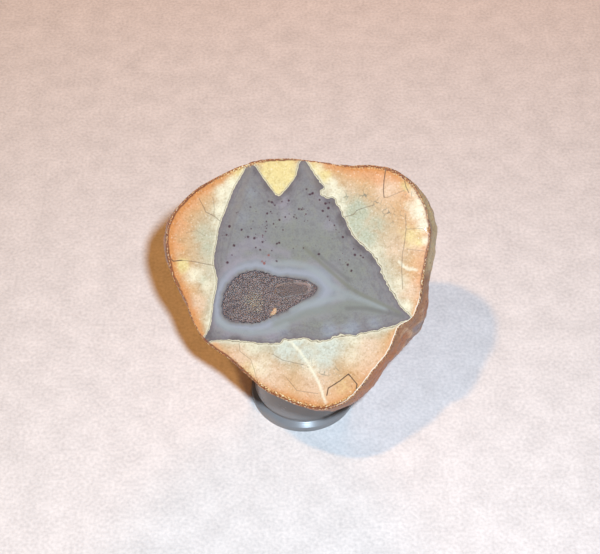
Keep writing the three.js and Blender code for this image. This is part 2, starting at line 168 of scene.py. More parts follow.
# Patches of tint in the rhyolite and the agate: x, y, radius, strength.
PATCHES = {
    "orange": [(-39.3, 16.7, 5.5, 0.7), (-40.2, 10.8, 4, 0.6), (-34.6, 23.8, 4, 0.6), (-30.1, 27.9, 3, 0.6),
               (19.6, 34.3, 4.5, 1), (15.5, 33.5, 4, 0.6), (23.1, 32, 4, 0.9), (27.7, 31.7, 3, 0.7),
               (-27.1, -20.5, 3, 0.6), (-22, -23.6, 3, 0.35), (-32.4, -10.2, 3.5, 0.4), (-6.3, -37.4, 4, 0.5),
               (2, -36.8, 3.5, 0.5), (20.8, -29.2, 3, 0.4), (34.8, -0.9, 3, 0.4)],
    "peach": [(25.4, 27.6, 5, 0.8), (25.4, 21.8, 4, 0.4), (28.3, 9.8, 5, 0.6), (14.3, 28.2, 4, 0.4),
              (-32.8, -7.3, 3.5, 0.9), (-14.1, -27, 5, 0.8), (20.1, -20.5, 4.5, 0.9), (14.9, -23.7, 4, 0.5),
              (2.6, -27.2, 4, 0.7), (32.7, -3, 4, 0.8), (29.9, -4.4, 3, 0.5), (-18.8, -22, 4, 0.5),
              (34.1, 10.1, 3.5, 0.6), (4, -31, 7, 0.8), (-10, -30, 7, 0.8), (20, -24, 7, 0.7),
              (-20, -24, 5, 0.8)],
    "green": [(16.4, 20.9, 4.5, 1), (15.5, 16.6, 4, 0.9), (19, 13, 4.5, 0.8), (22.5, 17.1, 4, 0.6),
              (13.1, 24.7, 2.6, 0.5), (-30.7, 13.8, 5, 0.55), (-29.5, 9.9, 4, 0.6), (-30.9, -0.1, 2.5, 0.6)],
    "mint": [(-5.3, -21.4, 5, 0.8), (-1.9, -18.9, 3, 0.9), (7.5, -20.5, 5, 0.9), (6.1, -24.1, 4.5, 0.8),
             (1.2, -22.7, 4, 0.8), (10.7, -20.5, 4, 0.6)],
    "yellow": [(-19.7, 34, 2.6, 1), (-7.9, 33.6, 6.5, 1), (-7.8, 27.5, 3, 1),
               (-11.5, 32, 3.5, 1), (-4, 31, 3.5, 1), (3.8, 34.1, 3.2, 0.8), (6.4, 31.8, 3, 0.7),
               (33.5, 13.3, 4.5, 0.55), (-37.2, 4.3, 2.6, 0.9), (13.1, -33.1, 4, 0.35), (-17, -28, 3.5, 0.5),
               (35.6, 11.8, 2, 0.7), (-21.9, 31.0, 2.2, 0.7), (32.0, 29.2, 2.4, 0.9)],
    "cream": [(-22.1, 29.6, 2.8, 1), (-24.8, 26.7, 3.2, 1), (-25.7, 21.7, 2.8, 0.9),
              (-26.5, 17.3, 2.2, 0.7), (-17.7, 36.3, 2, 0.6), (10.2, 26.8, 3, 0.9), (8.8, 29.4, 2.6, 0.8),
              (12, 22.7, 2.4, 0.7), (35.3, 20.6, 3.2, 1), (36.7, 17.1, 2.6, 1), (33, 22.5, 2.6, 0.7),
              (35.4, 24, 2.6, 0.9), (34.1, 27, 2.2, 0.9), (37.3, 12.1, 1.8, 0.8), (22.5, 9, 3, 0.5),
              (-33.4, 1.4, 3.4, 0.9), (-29.6, -2, 3, 0.7), (-15.7, -20.5, 3.6, 0.7), (29.6, -0.9, 3.6, 0.7),
              (31.7, -7.9, 2.4, 0.9), (15.9, -18.4, 3.5, 0.6), (-29.6, -12.7, 2.2, 0.6),
              (3.3, -25.5, 1.6, 0.6), (-13, -26.5, 5, 0.6), (2.6, -27, 4, 0.55), (15, -23, 4.5, 0.55),
              (5, 34.6, 2.2, 0.6), (-38.6, 8, 1.5, 0.3)],
    "dendrite": [(13.1, 25.3, 2.2, 0.7), (19, 25.6, 2.4, 0.8), (22.5, 23.8, 2, 0.7), (26.3, 20, 2.6, 1),
                 (29.2, 20.9, 2.2, 0.9), (31.8, 27, 2.2, 0.9), (16.7, 21.5, 2.6, 0.6), (21.9, 16.2, 3, 0.4),
                 (6.1, -28.3, 2.6, 0.7), (1.2, -25.5, 2.4, 0.5), (10.7, -27.5, 1.8, 0.6)],
    "moss": [(-4.4, 12.2, 8, 0.8), (0.8, 9.3, 8, 0.9), (6.4, 10.7, 7, 0.9), (14.9, 2.6, 6, 0.8),
             (4.4, -12.1, 6, 0.8), (11.4, -12.1, 5, 0.8), (20.1, -4.4, 4, 0.5)],
    "lilac": [(-6.4, 23.7, 3, 0.7), (-5.3, 19.6, 3, 0.6), (-14.7, 7, 3, 0.5), (-10.3, 6.1, 3, 0.5),
              (-19.1, 5.5, 2.5, 0.5), (-21.8, 7.9, 2.5, 0.4), (-9.4, -16.7, 3.5, 0.8), (10.7, -15.6, 3, 0.5),
              (6.4, 25.4, 3, 0.6), (7.9, 16.6, 3, 0.5), (-23.3, -17.7, 2.5, 0.5)],
    "blue": [(-6.3, -15.7, 3, 0.6), (7.9, -15.3, 3, 0.8), (14.9, -14.9, 3.5, 0.8), (21.5, -12.8, 3, 0.6),
             (-16.2, 26.9, 3, 0.5), (-18.8, 19, 3, 0.4)],
    "rust": [(0, 20.5, 4, 1), (-9, 21, 4.5, 0.8), (-12, 14.5, 5, 0.9), (3, 26.5, 3, 0.9),
             (-12, 6.5, 4, 0.7), (13, 7, 5, 0.9), (8, 18, 4, 0.7), (-24, 13, 4, 0.7), (-22, 2, 4, 0.5),
             (-20, -18, 6, 0.7), (14, -14, 8, 0.6)],
    "dusk": [(4.9, 29.5, 2.6, 0.8), (7.9, 23, 2.8, 0.8), (11.4, 18, 2.8, 1), (13.1, 14.2, 2.4, 0.8),
             (17.2, 9.8, 3, 1), (20.5, 6, 2.6, 0.7), (23.6, 1.5, 2.5, 0.4), (29.5, -8.5, 2.5, 0.3),
             (-8.6, 20, 3.5, 0.5), (-15.5, 32.5, 3, 0.6), (-11.2, 28.8, 2.6, 0.8), (-7.9, 24, 2.6, 0.7),
             (-4.2, 27.5, 2.6, 0.7), (-1.2, 32, 2.6, 0.6), (-29.6, -17.7, 2.6, 0.8), (-20.8, -18.6, 3, 0.7),
             (-26.5, -2, 2.6, 0.5)],
}

# The edge of the face round its middle, in degrees. First how far the rind laps over it and swells past the
# imported shape, in millimetres. Then how strong its painted highlight, dark line, iron stain and rusty grit
# are.
LAP = [(0, 0.8), (8, 0.4), (30, 0.4), (45, 0.6), (60, 0.35), (70, 0.3), (90, 0.3), (110, 0.3), (128, 0.4),
       (140, 0.5), (150, 0.6), (160, 0.7), (172, 0.8), (182, 0.45), (190, 0.35), (205, 0.35), (225, 0.35),
       (240, 0.35), (270, 0.35), (285, 0.45), (300, 0.45), (350, 0.4)]
SWELL = [(0, 0), (20, 0.1), (40, 0.35), (60, 0.3), (70, -0.3), (90, -0.3), (110, -0.4), (125, 0),
         (138, 0.5), (150, 0.05), (160, 0.5), (170, 0.8), (180, 0.7), (190, -0.5), (200, -0.25), (210, 0),
         (220, -0.7), (230, -1.1), (240, -1.1), (250, -0.45), (270, -0.35), (280, 0.1), (290, 0.2),
         (300, -0.5), (310, -0.85), (320, 0.1), (340, 0.1)]
# How strong the painted highlight is round the edge: it stands for the light the eased edge catches at the
# lower right.
EDGE_HIGHLIGHT = [(0, 0.2), (25, 0.15), (45, 0.1), (90, 0.15), (120, 0.3), (150, 0.2), (180, 0.25), (215, 0.3),
             (245, 0.35), (275, 0.3), (292, 0.9), (300, 1), (330, 1), (340, 0.75), (348, 1), (354, 0.6)]
DARK_LINE = [(0, 0.5), (30, 0.5), (45, 0.4), (60, 0.6), (70, 0.4), (80, 0.1), (92, 0.4), (100, 0.9),
             (108, 0.5), (118, 0.1), (130, 0.5), (140, 0.9), (150, 0.8), (160, 0.6), (175, 0.7), (185, 0.5),
             (195, 0.2), (205, 0.1), (212, 0.7), (240, 0.7), (255, 0.6), (270, 0.7), (280, 1), (287, 0.8),
             (296, 0.3), (340, 0), (350, 0.1)]
STAIN = [(0, 0.2), (30, 0.1), (46, 0.8), (58, 1), (75, 0.7), (90, 0.1), (118, 0.2), (132, 1), (180, 1),
         (200, 0.8), (210, 0.6), (218, 0.3), (240, 0.4), (262, 1), (290, 0.7), (310, 0.3)]
GRIT = [(0, 0.25), (38, 0.6), (62, 0.8), (75, 0.2), (100, 0.3), (112, 0.7), (128, 0.7), (140, 0.6),
        (170, 0.4), (200, 0.4), (222, 0.6), (240, 0.9), (262, 1.2), (288, 1.1), (300, 0.5), (330, 0.3)]

WARTS = 620  # round lumps on the rind
PIT_SHARE = 0.3  # of them are pits

# How the edge between face and rind is eased: share of the lap across, share of the lap down.
EASED_EDGE = [(1, 0), (0.55, 0.12), (0.18, 0.38)]

# Small breaks of the face at its edge: x, y, radius, depth.
CHIPS = [(-31.6, -20.2, 1.3, 0.5), (-42.6, 9.0, 1.5, 0.5), (26.9, -20.4, 0.9, 0.35), (16.8, -33.2, 1.1, 0.4),
         (5.6, -38.6, 1.0, 0.35), (-9.5, -36.8, 0.9, 0.3), (-27.0, -26.8, 0.9, 0.3), (-33.0, 27.3, 0.8, 0.25),
         (-8.5, 37.6, 1.2, 0.35), (14.0, 36.9, 0.8, 0.25), (38.4, 15.5, 0.8, 0.3)]

# Tints of the rind: degrees round the face, degrees below it, spread in degrees, strength.
RIND_PATCHES = {
    "rind_olive": [(140, 45, 10, 0.5), (165, 65, 12, 0.45), (32, 11, 15, 1), (14, 12, 13, 1),
                   (60, 12, 10, 0.4), (4, 22, 9, 0.6), (100, 50, 22, 0.7), (210, 60, 20, 0.6),
                   (330, 70, 20, 0.5)],
    "pink": [(170, 35, 14, 0.5), (130, 70, 14, 0.5), (105, 45, 10, 0.5), (160, 10, 13, 1),
             (175, 14, 13, 0.9), (190, 16, 10, 0.7), (140, 12, 9, 0.5), (262, 22, 12, 0.4)],
    "purple": [(150, 55, 32, 0.55), (95, 75, 30, 0.5), (200, 50, 24, 0.4), (120, 30, 14, 0.4),
               (338, 13, 4.5, 1), (320, 10, 3, 0.6), (213, 6, 4, 0.6), (334, 20, 4, 0.7),
               (20, 60, 16, 0.5)],
    "amber": [(312, 10, 14, 1), (298, 12, 12, 1), (322, 24, 12, 0.9), (350, 12, 8, 1), (358, 12, 5, 0.8),
              (45, 8, 6, 0.8), (329, 9, 5, 0.8), (272, 8, 14, 0.8), (235, 12, 12, 0.6),
              (240, 55, 22, 0.5), (130, 65, 20, 0.5)],
}

# The raised finger of chalcedony in the hollow, and a chip of peach feldspar.
FINGER = [(-8.5, -1.7), (-5.9, -1.0), (-0.1, -0.5), (2.2, -1.2), (2.8, -2.5), (2.0, -3.8), (-0.8, -4.5),
          (-5.1, -5.1), (-7.2, -5.5), (-8.9, -4.0)]
PEACH_CHIP = [(-10.5, -10.9), (-9.0, -8.6), (-8.2, -8.6), (-8.0, -10.1), (-9.2, -11.2)]

# Where the points of quartz are warm, near the middle of the hollow: x, y, radius, strength.
WARM_POINTS = [(-15.2, -6.6, 4.5, 1.0), (-14, -8.6, 2.5, 0.8), (-16.5, -3.5, 3, 0.6)]

BELOW_FACE = 0.12  # how far the tallest crystal ends under the face, in millimetres
SHORTEST_CRYSTAL = 0.22  # in millimetres
SHEET_STEP = 0.34  # between the points of the sheet they grow on, in millimetres

# ---------- the stand's section, in millimetres ----------

FLANGE_STEP = 1.0  # how far the flange at the foot stands out past the barrel
WAIST_STEP = 1.2  # how far the foot of the barrel stands in from the flange
FLANGE_SLOPE = math.radians(32)  # of the flange's top
GROOVE_HEIGHT = 1.7
WAIST_HEIGHT = 2.1  # from the flange's top to the foot of the barrel

# ---------- the studio, in metres ----------

FLOOR_REACH = 1.5  # from the middle of the floor to each side
SIDE_LIGHT = Vector((-0.311, -0.14, 0.887))  # from the middle of the face
BACK_LIGHT = Vector((0.08, 0.62, 0.42))
BACK_LIGHT_AIM = Vector((0.04, 0.42, 0))  # the floor behind the stone


# ---------- settings ----------

def linear(hex_colour):
    """An sRGB hex colour as the linear red, green, blue and alpha that the shaders take."""
    parts = [int(hex_colour[i:i + 2], 16) / 255 for i in (1, 3, 5)]
    return tuple(c / 12.92 if c <= 0.04045 else ((c + 0.055) / 1.055) ** 2.4 for c in parts) + (1.0,)


def colour_setting(name, description, hex_colour):
    """A colour that a user may change."""
    return FloatVectorProperty(name=name, description=description, subtype="COLOR", size=4, min=0, max=1,
                               default=linear(hex_colour))


def length_setting(name, description, millimetres, **limits):
    """A length that a user may change."""
    return FloatProperty(name=name, description=description, unit="LENGTH",
                         default=millimetres * MM, **limits)


def power_setting(name, description, watts):
    """The power of a light that a user may change."""
    return FloatProperty(name=name, description=description, unit="POWER", default=watts)


class RhyoliteColours(bpy.types.PropertyGroup):
    """Colours of the rhyolite shell on the polished face."""

    rim: colour_setting("Rim", "Iron-stained rhyolite at the edge of the face", "#dfa87b")
    flesh: colour_setting("Flesh", "Orange rhyolite inside the rim", "#d4a87a")
    sand: colour_setting("Sand", "Sandy rhyolite half way to the agate", "#cbaf8b")
    bleached: colour_setting("Bleached", "Bleached rhyolite next to the agate", "#cabda1")
    orange: colour_setting("Orange", "Patches rich in iron", "#df9f71")
    peach: colour_setting("Peach", "Peach patches", "#e5c4a6")
    green: colour_setting("Green", "Celadonite tint", "#b8b9a0")
    mint: colour_setting("Mint", "Pale celadonite tint", "#cfd0c0")
    yellow: colour_setting("Yellow", "Yellow of the notch and the top", "#e5cf90")
    cream: colour_setting("Cream", "Chalky patches", "#eee4c6")
    fracture: colour_setting("Fracture", "Freshly broken edges", "#c8935c")
    stain: colour_setting("Stain", "Iron stain along the edge of the face", "#cf874a")
    crack: colour_setting("Cracks", "Iron and manganese in the cracks", "#6a5240")
    dendrite: colour_setting("Dendrites", "Manganese dendrites", "#706e60")
    # A pale colour for painted highlight: the line along the edge of the cut, glints in the rhyolite and in
    # its grit.
    edge_highlight: colour_setting("Edge line", "Fresh line at the edge of the cut", "#efe2cc")
    edge_stain: colour_setting("Edge stain", "Iron stain at the edge of the cut", "#7b4630")


class AgateColours(bpy.types.PropertyGroup):
    """Colours of the agate on the polished face."""

    wall: colour_setting("Wall", "First bands along the walls", "#867a78")
    band: colour_setting("Band", "Grey bands", "#8a8480")
    core: colour_setting("Core", "Middle of the agate", "#8a8681")
    moss: colour_setting("Moss", "Greenish grey", "#89867c")
    halo: colour_setting("Halo", "Pale bands round the hollow", "#919196")
    lilac: colour_setting("Lilac", "Lilac tint", "#9d9396")
    blue: colour_setting("Blue", "Bluish bands", "#9a9b9e")
    dusk: colour_setting("Dusk", "Purple-brown shade", "#6c615f")
    glow: colour_setting("Glow", "Palest band round the hollow", "#9c9ba0")
    pinkish: colour_setting("Pinkish", "Pinkish streaks over the hollow", "#9c8f96")
    sage: colour_setting("Sage", "Sage-green streaks", "#858578")
    dust: colour_setting("Dust", "Iron oxide dust", "#5f4048")
    tan: colour_setting("Tan", "Tan streaks", "#8f8073")
    olive: colour_setting("Olive", "Olive streaks", "#7b7768")
    bright: colour_setting("Bright", "Pale streaks", "#989a95")
    shade: colour_setting("Shade", "Dark streaks", "#716c66")
    outline: colour_setting("Outline", "Cream skin between agate and rhyolite", "#d3c5a6")
    seam: colour_setting("Seam", "Dark seam inside the cream skin", "#6f5b46")
    speck: colour_setting("Specks", "Iron oxide specks", "#472932")
    red: colour_setting("Red specks", "Red iron oxide specks", "#8e4a3b")


class RindColours(bpy.types.PropertyGroup):
    """Colours of the natural rind."""

    pit: colour_setting("Pits", "Low places of the rind", "#63392a")
    brown: colour_setting("Brown", "Body of the rind", "#a4714f")
    knob: colour_setting("Knobs", "Rubbed high places", "#d0a683")
    olive: colour_setting("Olive", "Olive skin", "#dcc38c")
    pink: colour_setting("Pink", "Pinkish skin with pale flecks", "#d8a58c")
    purple: colour_setting("Purple", "Agate that shows through the rind", "#8c7d80")
    amber: colour_setting("Amber", "Glossy amber skin", "#b8672f")
    fleck: colour_setting("Flecks", "Pale flecks", "#f3e4d3")


class QuartzColours(bpy.types.PropertyGroup):
    """Colours of the crystals in the hollow."""

    root: colour_setting("Root", "Foot of the crystals", "#88706b")
    point: colour_setting("Point", "Crystal points", "#b0958a")
    edge: colour_setting("Edge", "Crystals against the agate", "#7e6863")
    warm: colour_setting("Warm", "Warm points near the middle", "#ecca9c")
    finger: colour_setting("Finger", "Chalcedony finger", "#8a7268")
    finger_edge: colour_setting("Finger edge", "Pale outline of the finger", "#c4b3a6")
    chip: colour_setting("Chip", "Chip of peach feldspar", "#cfa27c")


class StandColours(bpy.types.PropertyGroup):
    """Colour of the ring stand."""

    plastic: colour_setting("Plastic", "Neutral grey acrylic", "#908a87")


class EggSizes(bpy.types.PropertyGroup):
    """Sizes of the stone's detail."""

    grid: length_setting("Face grid", "Spacing of the points on the polished face", 0.45, min=0.3 * MM)
    bevel: length_setting("Bevel", "Width of the eased edge of the face", 0.32)
    knobs: length_setting("Knobs", "Height of the rind's small knobs", 0.34)
    warts: length_setting("Warts", "Height of the rind's warts", 0.3)
    grain: length_setting("Grain", "Height of the rind's grain", 0.1)
    hollow: length_setting("Hollow", "Depth of the hollow", 5.2)
    sides: IntProperty(name="Sides", description="Points round the rind", default=480, min=120)


class CrystalSizes(bpy.types.PropertyGroup):
    """Sizes of the crystals in the hollow."""

    spacing: length_setting("Spacing", "Distance between crystals", 0.42)
    longest: length_setting("Longest", "Longest crystal", 0.72)
    widest: length_setting("Widest", "Half width of the widest crystal", 0.38)
    sheet: length_setting("Sheet", "Thickness of the sheet they grow on", 1.2)


class StandSizes(bpy.types.PropertyGroup):
    """Sizes of the ring stand's section."""

    wall: length_setting("Wall", "Thickness of the ring", 2.1)
    foot: length_setting("Foot", "Height of the flange at the foot", 2.9)
    groove: length_setting("Groove", "Depth of the groove over the flange", 1.0)


class StudioSettings(bpy.types.PropertyGroup):
    """Floor, lights and camera."""

    floor: colour_setting("Floor", "Pale card under the stone", "#ebe3dd")
    near_light: colour_setting("Near light", "Cool light beside the camera", "#cfe8ff")
    side_light: colour_setting("Side light", "Warm light from high on the left", "#ffc374")
    back_light: colour_setting("Back light", "Warm light on the floor behind the stone", "#ffa55a")
    surround_tint: colour_setting("Surround tint", "Warm bounce of the room", "#ffe2c4")
    near_power: power_setting("Near power", "Power of the near light", 3.1)
    side_power: power_setting("Side power", "Power of the side light", 3.1)
    back_power: power_setting("Back power", "Power of the back light", 1.35)
    surround: FloatProperty(name="Surround", description="Brightness of the room", default=0.05)
    distance: length_setting("Camera distance", "From the middle of the face", 450)
    height: FloatProperty(name="Camera height angle", description="How far the camera looks down",
                          unit="ROTATION", default=math.radians(50))
    lens: FloatProperty(name="Lens", description="Focal length in millimetres", default=88.29)


SETTINGS = {
    "rhyolite_colours": RhyoliteColours,
    "agate_colours": AgateColours,
    "rind_colours": RindColours,
    "quartz_colours": QuartzColours,
    "stand_colours": StandColours,
    "egg_sizes": EggSizes,
    "crystal_sizes": CrystalSizes,
    "stand_sizes": StandSizes,
    "studio": StudioSettings,
}


# ---------- curves, fields and noise, in millimetres ----------

def smoothstep(values, low, high):
    """0 below low, 1 above high, and smooth between them."""
    t = np.clip((values - low) / (high - low), 0, 1)
    return t * t * (3 - 2 * t)


def rounded(path, closed=True, rounds=1):
    """A run of points with its corners cut, which softens the joints and keeps the points of a star."""
    points = np.array(path, float)
    for _ in range(rounds):
        after = np.roll(points, -1, axis=0) if closed else points[1:]
        before = points if closed else points[:-1]
        cut = np.stack([before * 0.82 + after * 0.18, before * 0.18 + after * 0.82], axis=1).reshape(-1, 2)
        points = cut if closed else np.vstack([points[:1], cut, points[-1:]])
    return points


def along(path, step):
    """Points along an open run of points, no further apart than a step."""
    points = np.array(path, float)
    made = [points[:1]]
    for a, b in zip(points[:-1], points[1:]):
        count = max(1, math.ceil(np.linalg.norm(b - a) / step))
        made.append(a + (b - a) * (np.arange(1, count + 1) / count)[:, None])
    return np.vstack(made)


def distance_to(path, points, closed=False):
    """How far each point is from a run of points."""
    path = np.array(path, float)
    ends = np.vstack([path, path[:1]]) if closed else path
    nearest = np.full(len(points), np.inf)
    for a, b in zip(ends[:-1], ends[1:]):
        run = b - a
        t = np.clip(((points - a) @ run) / max(run @ run, 1e-12), 0, 1)
        nearest = np.minimum(nearest, np.sum((points - a - t[:, None] * run) ** 2, axis=1))
    return np.sqrt(nearest)


def inside(path, points):
    """Whether each point is inside a closed run of points."""
    within = np.zeros(len(points), bool)
    x, y = points[:, 0], points[:, 1]
    for (ax, ay), (bx, by) in zip(path, np.roll(path, -1, axis=0)):
        crosses = (ay > y) != (by > y)
        if ay != by:
            within ^= crosses & (x < (bx - ax) * (y - ay) / (by - ay) + ax)
    return within


def signed_distance(path, points):
    """Distance to a closed run of points: above 0 inside it, below 0 outside."""
    return distance_to(path, points, True) * np.where(inside(path, points), 1.0, -1.0)


def reach_round(rows, degrees):
    """The value at each angle of a closed run of (degrees, value) rows, on a smooth curve through them."""
    angle, value = np.array(rows, float).T
    count = len(angle)
    turn = np.mod(degrees - angle[0], 360) + angle[0]
    i = np.searchsorted(angle, turn, side="right") - 1
    lap = [(i + k) // count for k in (-1, 0, 1, 2)]
    a = [angle[(i + k) % count] + 360 * lap[k + 1] for k in (-1, 0, 1, 2)]
    v = [value[(i + k) % count] for k in (-1, 0, 1, 2)]
    t = (turn - a[1]) / (a[2] - a[1])
    slope1 = (v[2] - v[0]) / (a[2] - a[0]) * (a[2] - a[1])
    slope2 = (v[3] - v[1]) / (a[3] - a[1]) * (a[2] - a[1])
    return ((2 * t**3 - 3 * t**2 + 1) * v[1] + (t**3 - 2 * t**2 + t) * slope1
            + (3 * t**2 - 2 * t**3) * v[2] + (t**3 - t**2) * slope2)


def noise(points, size, seed):
    """Smooth noise from about -1 to 1 at points in space, whose swells are one size across."""
    random = np.random.RandomState(seed)
    order = random.permutation(256)
    slopes = random.normal(size=(256, 3))
    slopes /= np.linalg.norm(slopes, axis=1)[:, None]
    cell = np.floor(points / size).astype(int)
    part = points / size - cell
    ease = part**3 * (part * (part * 6 - 15) + 10)
    total = np.zeros(len(points))
    for corner in np.ndindex(2, 2, 2):
        corner = np.array(corner)
        key = (cell + corner) & 255
        slope = slopes[order[(order[(order[key[:, 0]] + key[:, 1]) & 255] + key[:, 2]) & 255]]
        weight = np.prod(np.where(corner, ease, 1 - ease), axis=1)
        total += weight * np.sum(slope * (part - corner), axis=1)
    return total * 1.6


def layered_noise(points, size, seed, layers=3):
    """Noise with finer and weaker noise on it."""
    return sum(noise(points, size / 2**k, seed + k) / 2**k for k in range(layers))


def patch_field(rows, points):
    """The strongest of some soft round patches at each point."""
    field = np.zeros(len(points))
    for x, y, radius, strength in rows:
        away = np.hypot(points[:, 0] - x, points[:, 1] - y) / radius
        field = np.maximum(field, strength * np.exp(-away * away))
    return field


def blurred(grid, rounds, ways):
    """A grid of values made smooth: rows run down the stone, columns run round it and join."""
    for axis, spread in ((0, rounds), (1, ways)):
        span = int(3 * spread) + 1
        weights = np.exp(-0.5 * (np.arange(-span, span + 1) / spread) ** 2)
        weights /= weights.sum()
        mode = "edge" if axis == 0 else "wrap"
        pad = [(span, span) if k == axis else (0, 0) for k in (0, 1)]
        wide = np.pad(grid, pad, mode=mode)
        shifted = [np.take(wide, range(k, k + grid.shape[axis]), axis=axis) for k in range(len(weights))]
        grid = sum(weight * values for weight, values in zip(weights, shifted))
    return grid


def to_world(points):
    """Points in the face's frame, in millimetres, as points of the model, in metres."""
    return (points @ AXES.T) * MM + np.array(MIDDLE)


# ---------- meshes ----------

def triangulated(loops, lines, loose, step, keep):
    """A flat mesh over an even grid of points, whose edges follow the loops and lines."""
    runs = [(np.array(run, float), True) for run in loops] + [(np.array(run, float), False) for run in lines]
    low = np.min(np.vstack([run for run, _ in runs]), axis=0)
    high = np.max(np.vstack([run for run, _ in runs]), axis=0)
    grid = []
    for k, y in enumerate(np.arange(low[1], high[1], step * math.sin(math.pi / 3))):
        row = np.arange(low[0] + (k % 2) * step / 2, high[0], step)
        grid.append(np.column_stack([row, np.full(len(row), y)]))
    grid = np.vstack(grid)
    grid = grid[keep(grid)]
    for run, closed in runs:
        grid = grid[distance_to(run, grid, closed) > step * 0.55]
    if len(loose):
        away = grid[:, None] - loose[None]
        grid = grid[np.min(np.hypot(away[..., 0], away[..., 1]), axis=1) > step * 0.5]
    points, edges, start = [], [], 0
    for run, closed in runs:
        count = len(run)
        points.append(run)
        edges += [(start + k, start + k + 1) for k in range(count - 1)]
        if closed:
            edges.append((start + count - 1, start))
        start += count
    points = np.vstack(points + [grid] + ([loose] if len(loose) else []))
    found, _, faces, *_ = delaunay_2d_cdt([Vector(p) for p in points], edges, [], 0, 1e-6)
    found, faces = np.array([tuple(p) for p in found]), np.array(faces)
    faces = faces[keep(found[faces].mean(axis=1))]
    a, b, c = (found[faces[:, k]] for k in range(3))
    turned = (b[:, 0] - a[:, 0]) * (c[:, 1] - a[:, 1]) - (b[:, 1] - a[:, 1]) * (c[:, 0] - a[:, 0]) < 0
    faces[turned] = faces[turned][:, ::-1]
    return found, faces


def band_faces(upper, lower, count):
    """Four-sided faces between two closed rings of points that start at two numbers."""
    s = np.arange(count)
    n = (s + 1) % count
    return np.column_stack([upper + s, lower + s, lower + n, upper + n])


def bowl_faces(start, rings, count):
    """Faces that join some closed rings of points, and close the last one on the point after it."""
    faces = []
    for k in range(rings - 1):
        faces += band_faces(start + k * count, start + (k + 1) * count, count).tolist()
    last = start + (rings - 1) * count
    tip = last + count
    return faces + [[last + s, tip, last + (s + 1) % count] for s in range(count)]


def new_mesh(name, points, faces, sorts=None):
    """A mesh from points in metres, lists of faces and their material numbers, with doubled points joined."""
    mesh = bpy.data.meshes.new(name)
    mesh.from_pydata(points.tolist(), [], faces)
    if sorts is not None:
        mesh.polygons.foreach_set("material_index", np.array(sorts, np.int32))
    work = bmesh.new()
    work.from_mesh(mesh)
    bmesh.ops.remove_doubles(work, verts=work.verts, dist=1e-7)
    bmesh.ops.recalc_face_normals(work, faces=work.faces)
    work.to_mesh(mesh)
    work.free()
    return mesh


def add_fields(mesh, fields):
    """Lay named numbers on the points of a mesh, for its material to read."""
    for name, values in fields.items():
        field = mesh.attributes.new(name, "FLOAT", "POINT")
        field.data.foreach_set("value", np.asarray(values, np.float32))


def sharpen_borders(mesh):
    """Keep each surface's own shading where two materials meet."""
    edges = np.empty(len(mesh.loops), np.int32)
    mesh.loops.foreach_get("edge_index", edges)
    sorts = np.empty(len(mesh.polygons), np.int32)
    mesh.polygons.foreach_get("material_index", sorts)
    totals = np.empty(len(mesh.polygons), np.int32)
    mesh.polygons.foreach_get("loop_total", totals)
    sorts = np.repeat(sorts, totals)
    low, high = np.full(len(mesh.edges), 9), np.full(len(mesh.edges), -1)
    np.minimum.at(low, edges, sorts)
    np.maximum.at(high, edges, sorts)
    sharp = np.empty(len(mesh.edges), bool)
    mesh.edges.foreach_get("use_edge_sharp", sharp)
    mesh.edges.foreach_set("use_edge_sharp", sharp | (low != high))


def local_points(mesh):
    """The points of a mesh in the face's frame, in millimetres."""
    flat = np.empty(len(mesh.vertices) * 3)
    mesh.vertices.foreach_get("co", flat)
    return ((flat.reshape(-1, 3) - np.array(MIDDLE)) / MM) @ AXES


def show_piece(name, mesh, materials, slot, *nodes):
    """Put a finished mesh in the scene in place of the plain solids."""
    piece = bpy.data.objects.new(name, mesh)
    bpy.context.scene.collection.objects.link(piece)
    for material in materials:
        mesh.materials.append(material)
    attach(piece, "root")
    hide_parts(*nodes)


# ---------- material nodes ----------

def new_material(name):
    """A material with an empty node tree, and the function that adds nodes to it."""
    material = bpy.data.materials.new(name)
    material.use_nodes = True
    material.node_tree.nodes.clear()
    return material, partial(add_node, material.node_tree)


def add_node(tree, kind, inputs=None, stops=None, **settings):
    """Add a node. inputs maps a socket's name or number to a value or to the socket that feeds it, and
    stops are the places and colours of a ramp."""
    node = tree.nodes.new(kind)
    for name, value in settings.items():
        setattr(node, name, value)
    for name, value in (inputs or {}).items():
        if isinstance(value, bpy.types.NodeSocket):
            tree.links.new(value, node.inputs[name])
        else:
            node.inputs[name].default_value = value
    if stops:
        elements = node.color_ramp.elements
        elements.remove(elements[1])
        elements[0].position, elements[0].color = stops[0][0], tuple(stops[0][1])
        for place, shade in stops[1:]:
            elements.new(place).color = tuple(shade)
    return node


def per_mm(size):
    """The scale that gives a texture of object coordinates features of a size in millimetres."""
    return 1.0 / (size * MM)


def lay_colours(add, base, waver, layers):
    """Lay colours over a base where a field of the mesh passes from one value to another, wavering a little.
    A layer is the field, its two values, how far they waver, its strength and its colour."""
    for field, low, high, sway, strength, shade in layers:
        value = add("ShaderNodeAttribute", attribute_name=field).outputs["Fac"]
        value = add("ShaderNodeMath", {0: waver, 1: sway, 2: value}, operation="MULTIPLY_ADD").outputs[0]
        mask = add("ShaderNodeMapRange", {
            "Value": value, "From Min": low + sway / 2, "From Max": high + sway / 2, "To Max": strength},
            interpolation_type="SMOOTHSTEP").outputs[0]
        base = add("ShaderNodeMix", {0: mask, 6: base, 7: shade}, data_type="RGBA").outputs[2]
    return base


def tinted(add, base, value, amount, tints):
    """Multiply a base colour by pale tints that change along a value."""
    stops = [(place, linear(tint)) for place, tint in tints]
    tint = add("ShaderNodeValToRGB", {"Fac": value}, stops=stops).outputs["Color"]
    return add("ShaderNodeMix", {0: amount, 6: base, 7: tint}, data_type="RGBA",
               blend_type="MULTIPLY").outputs[2]


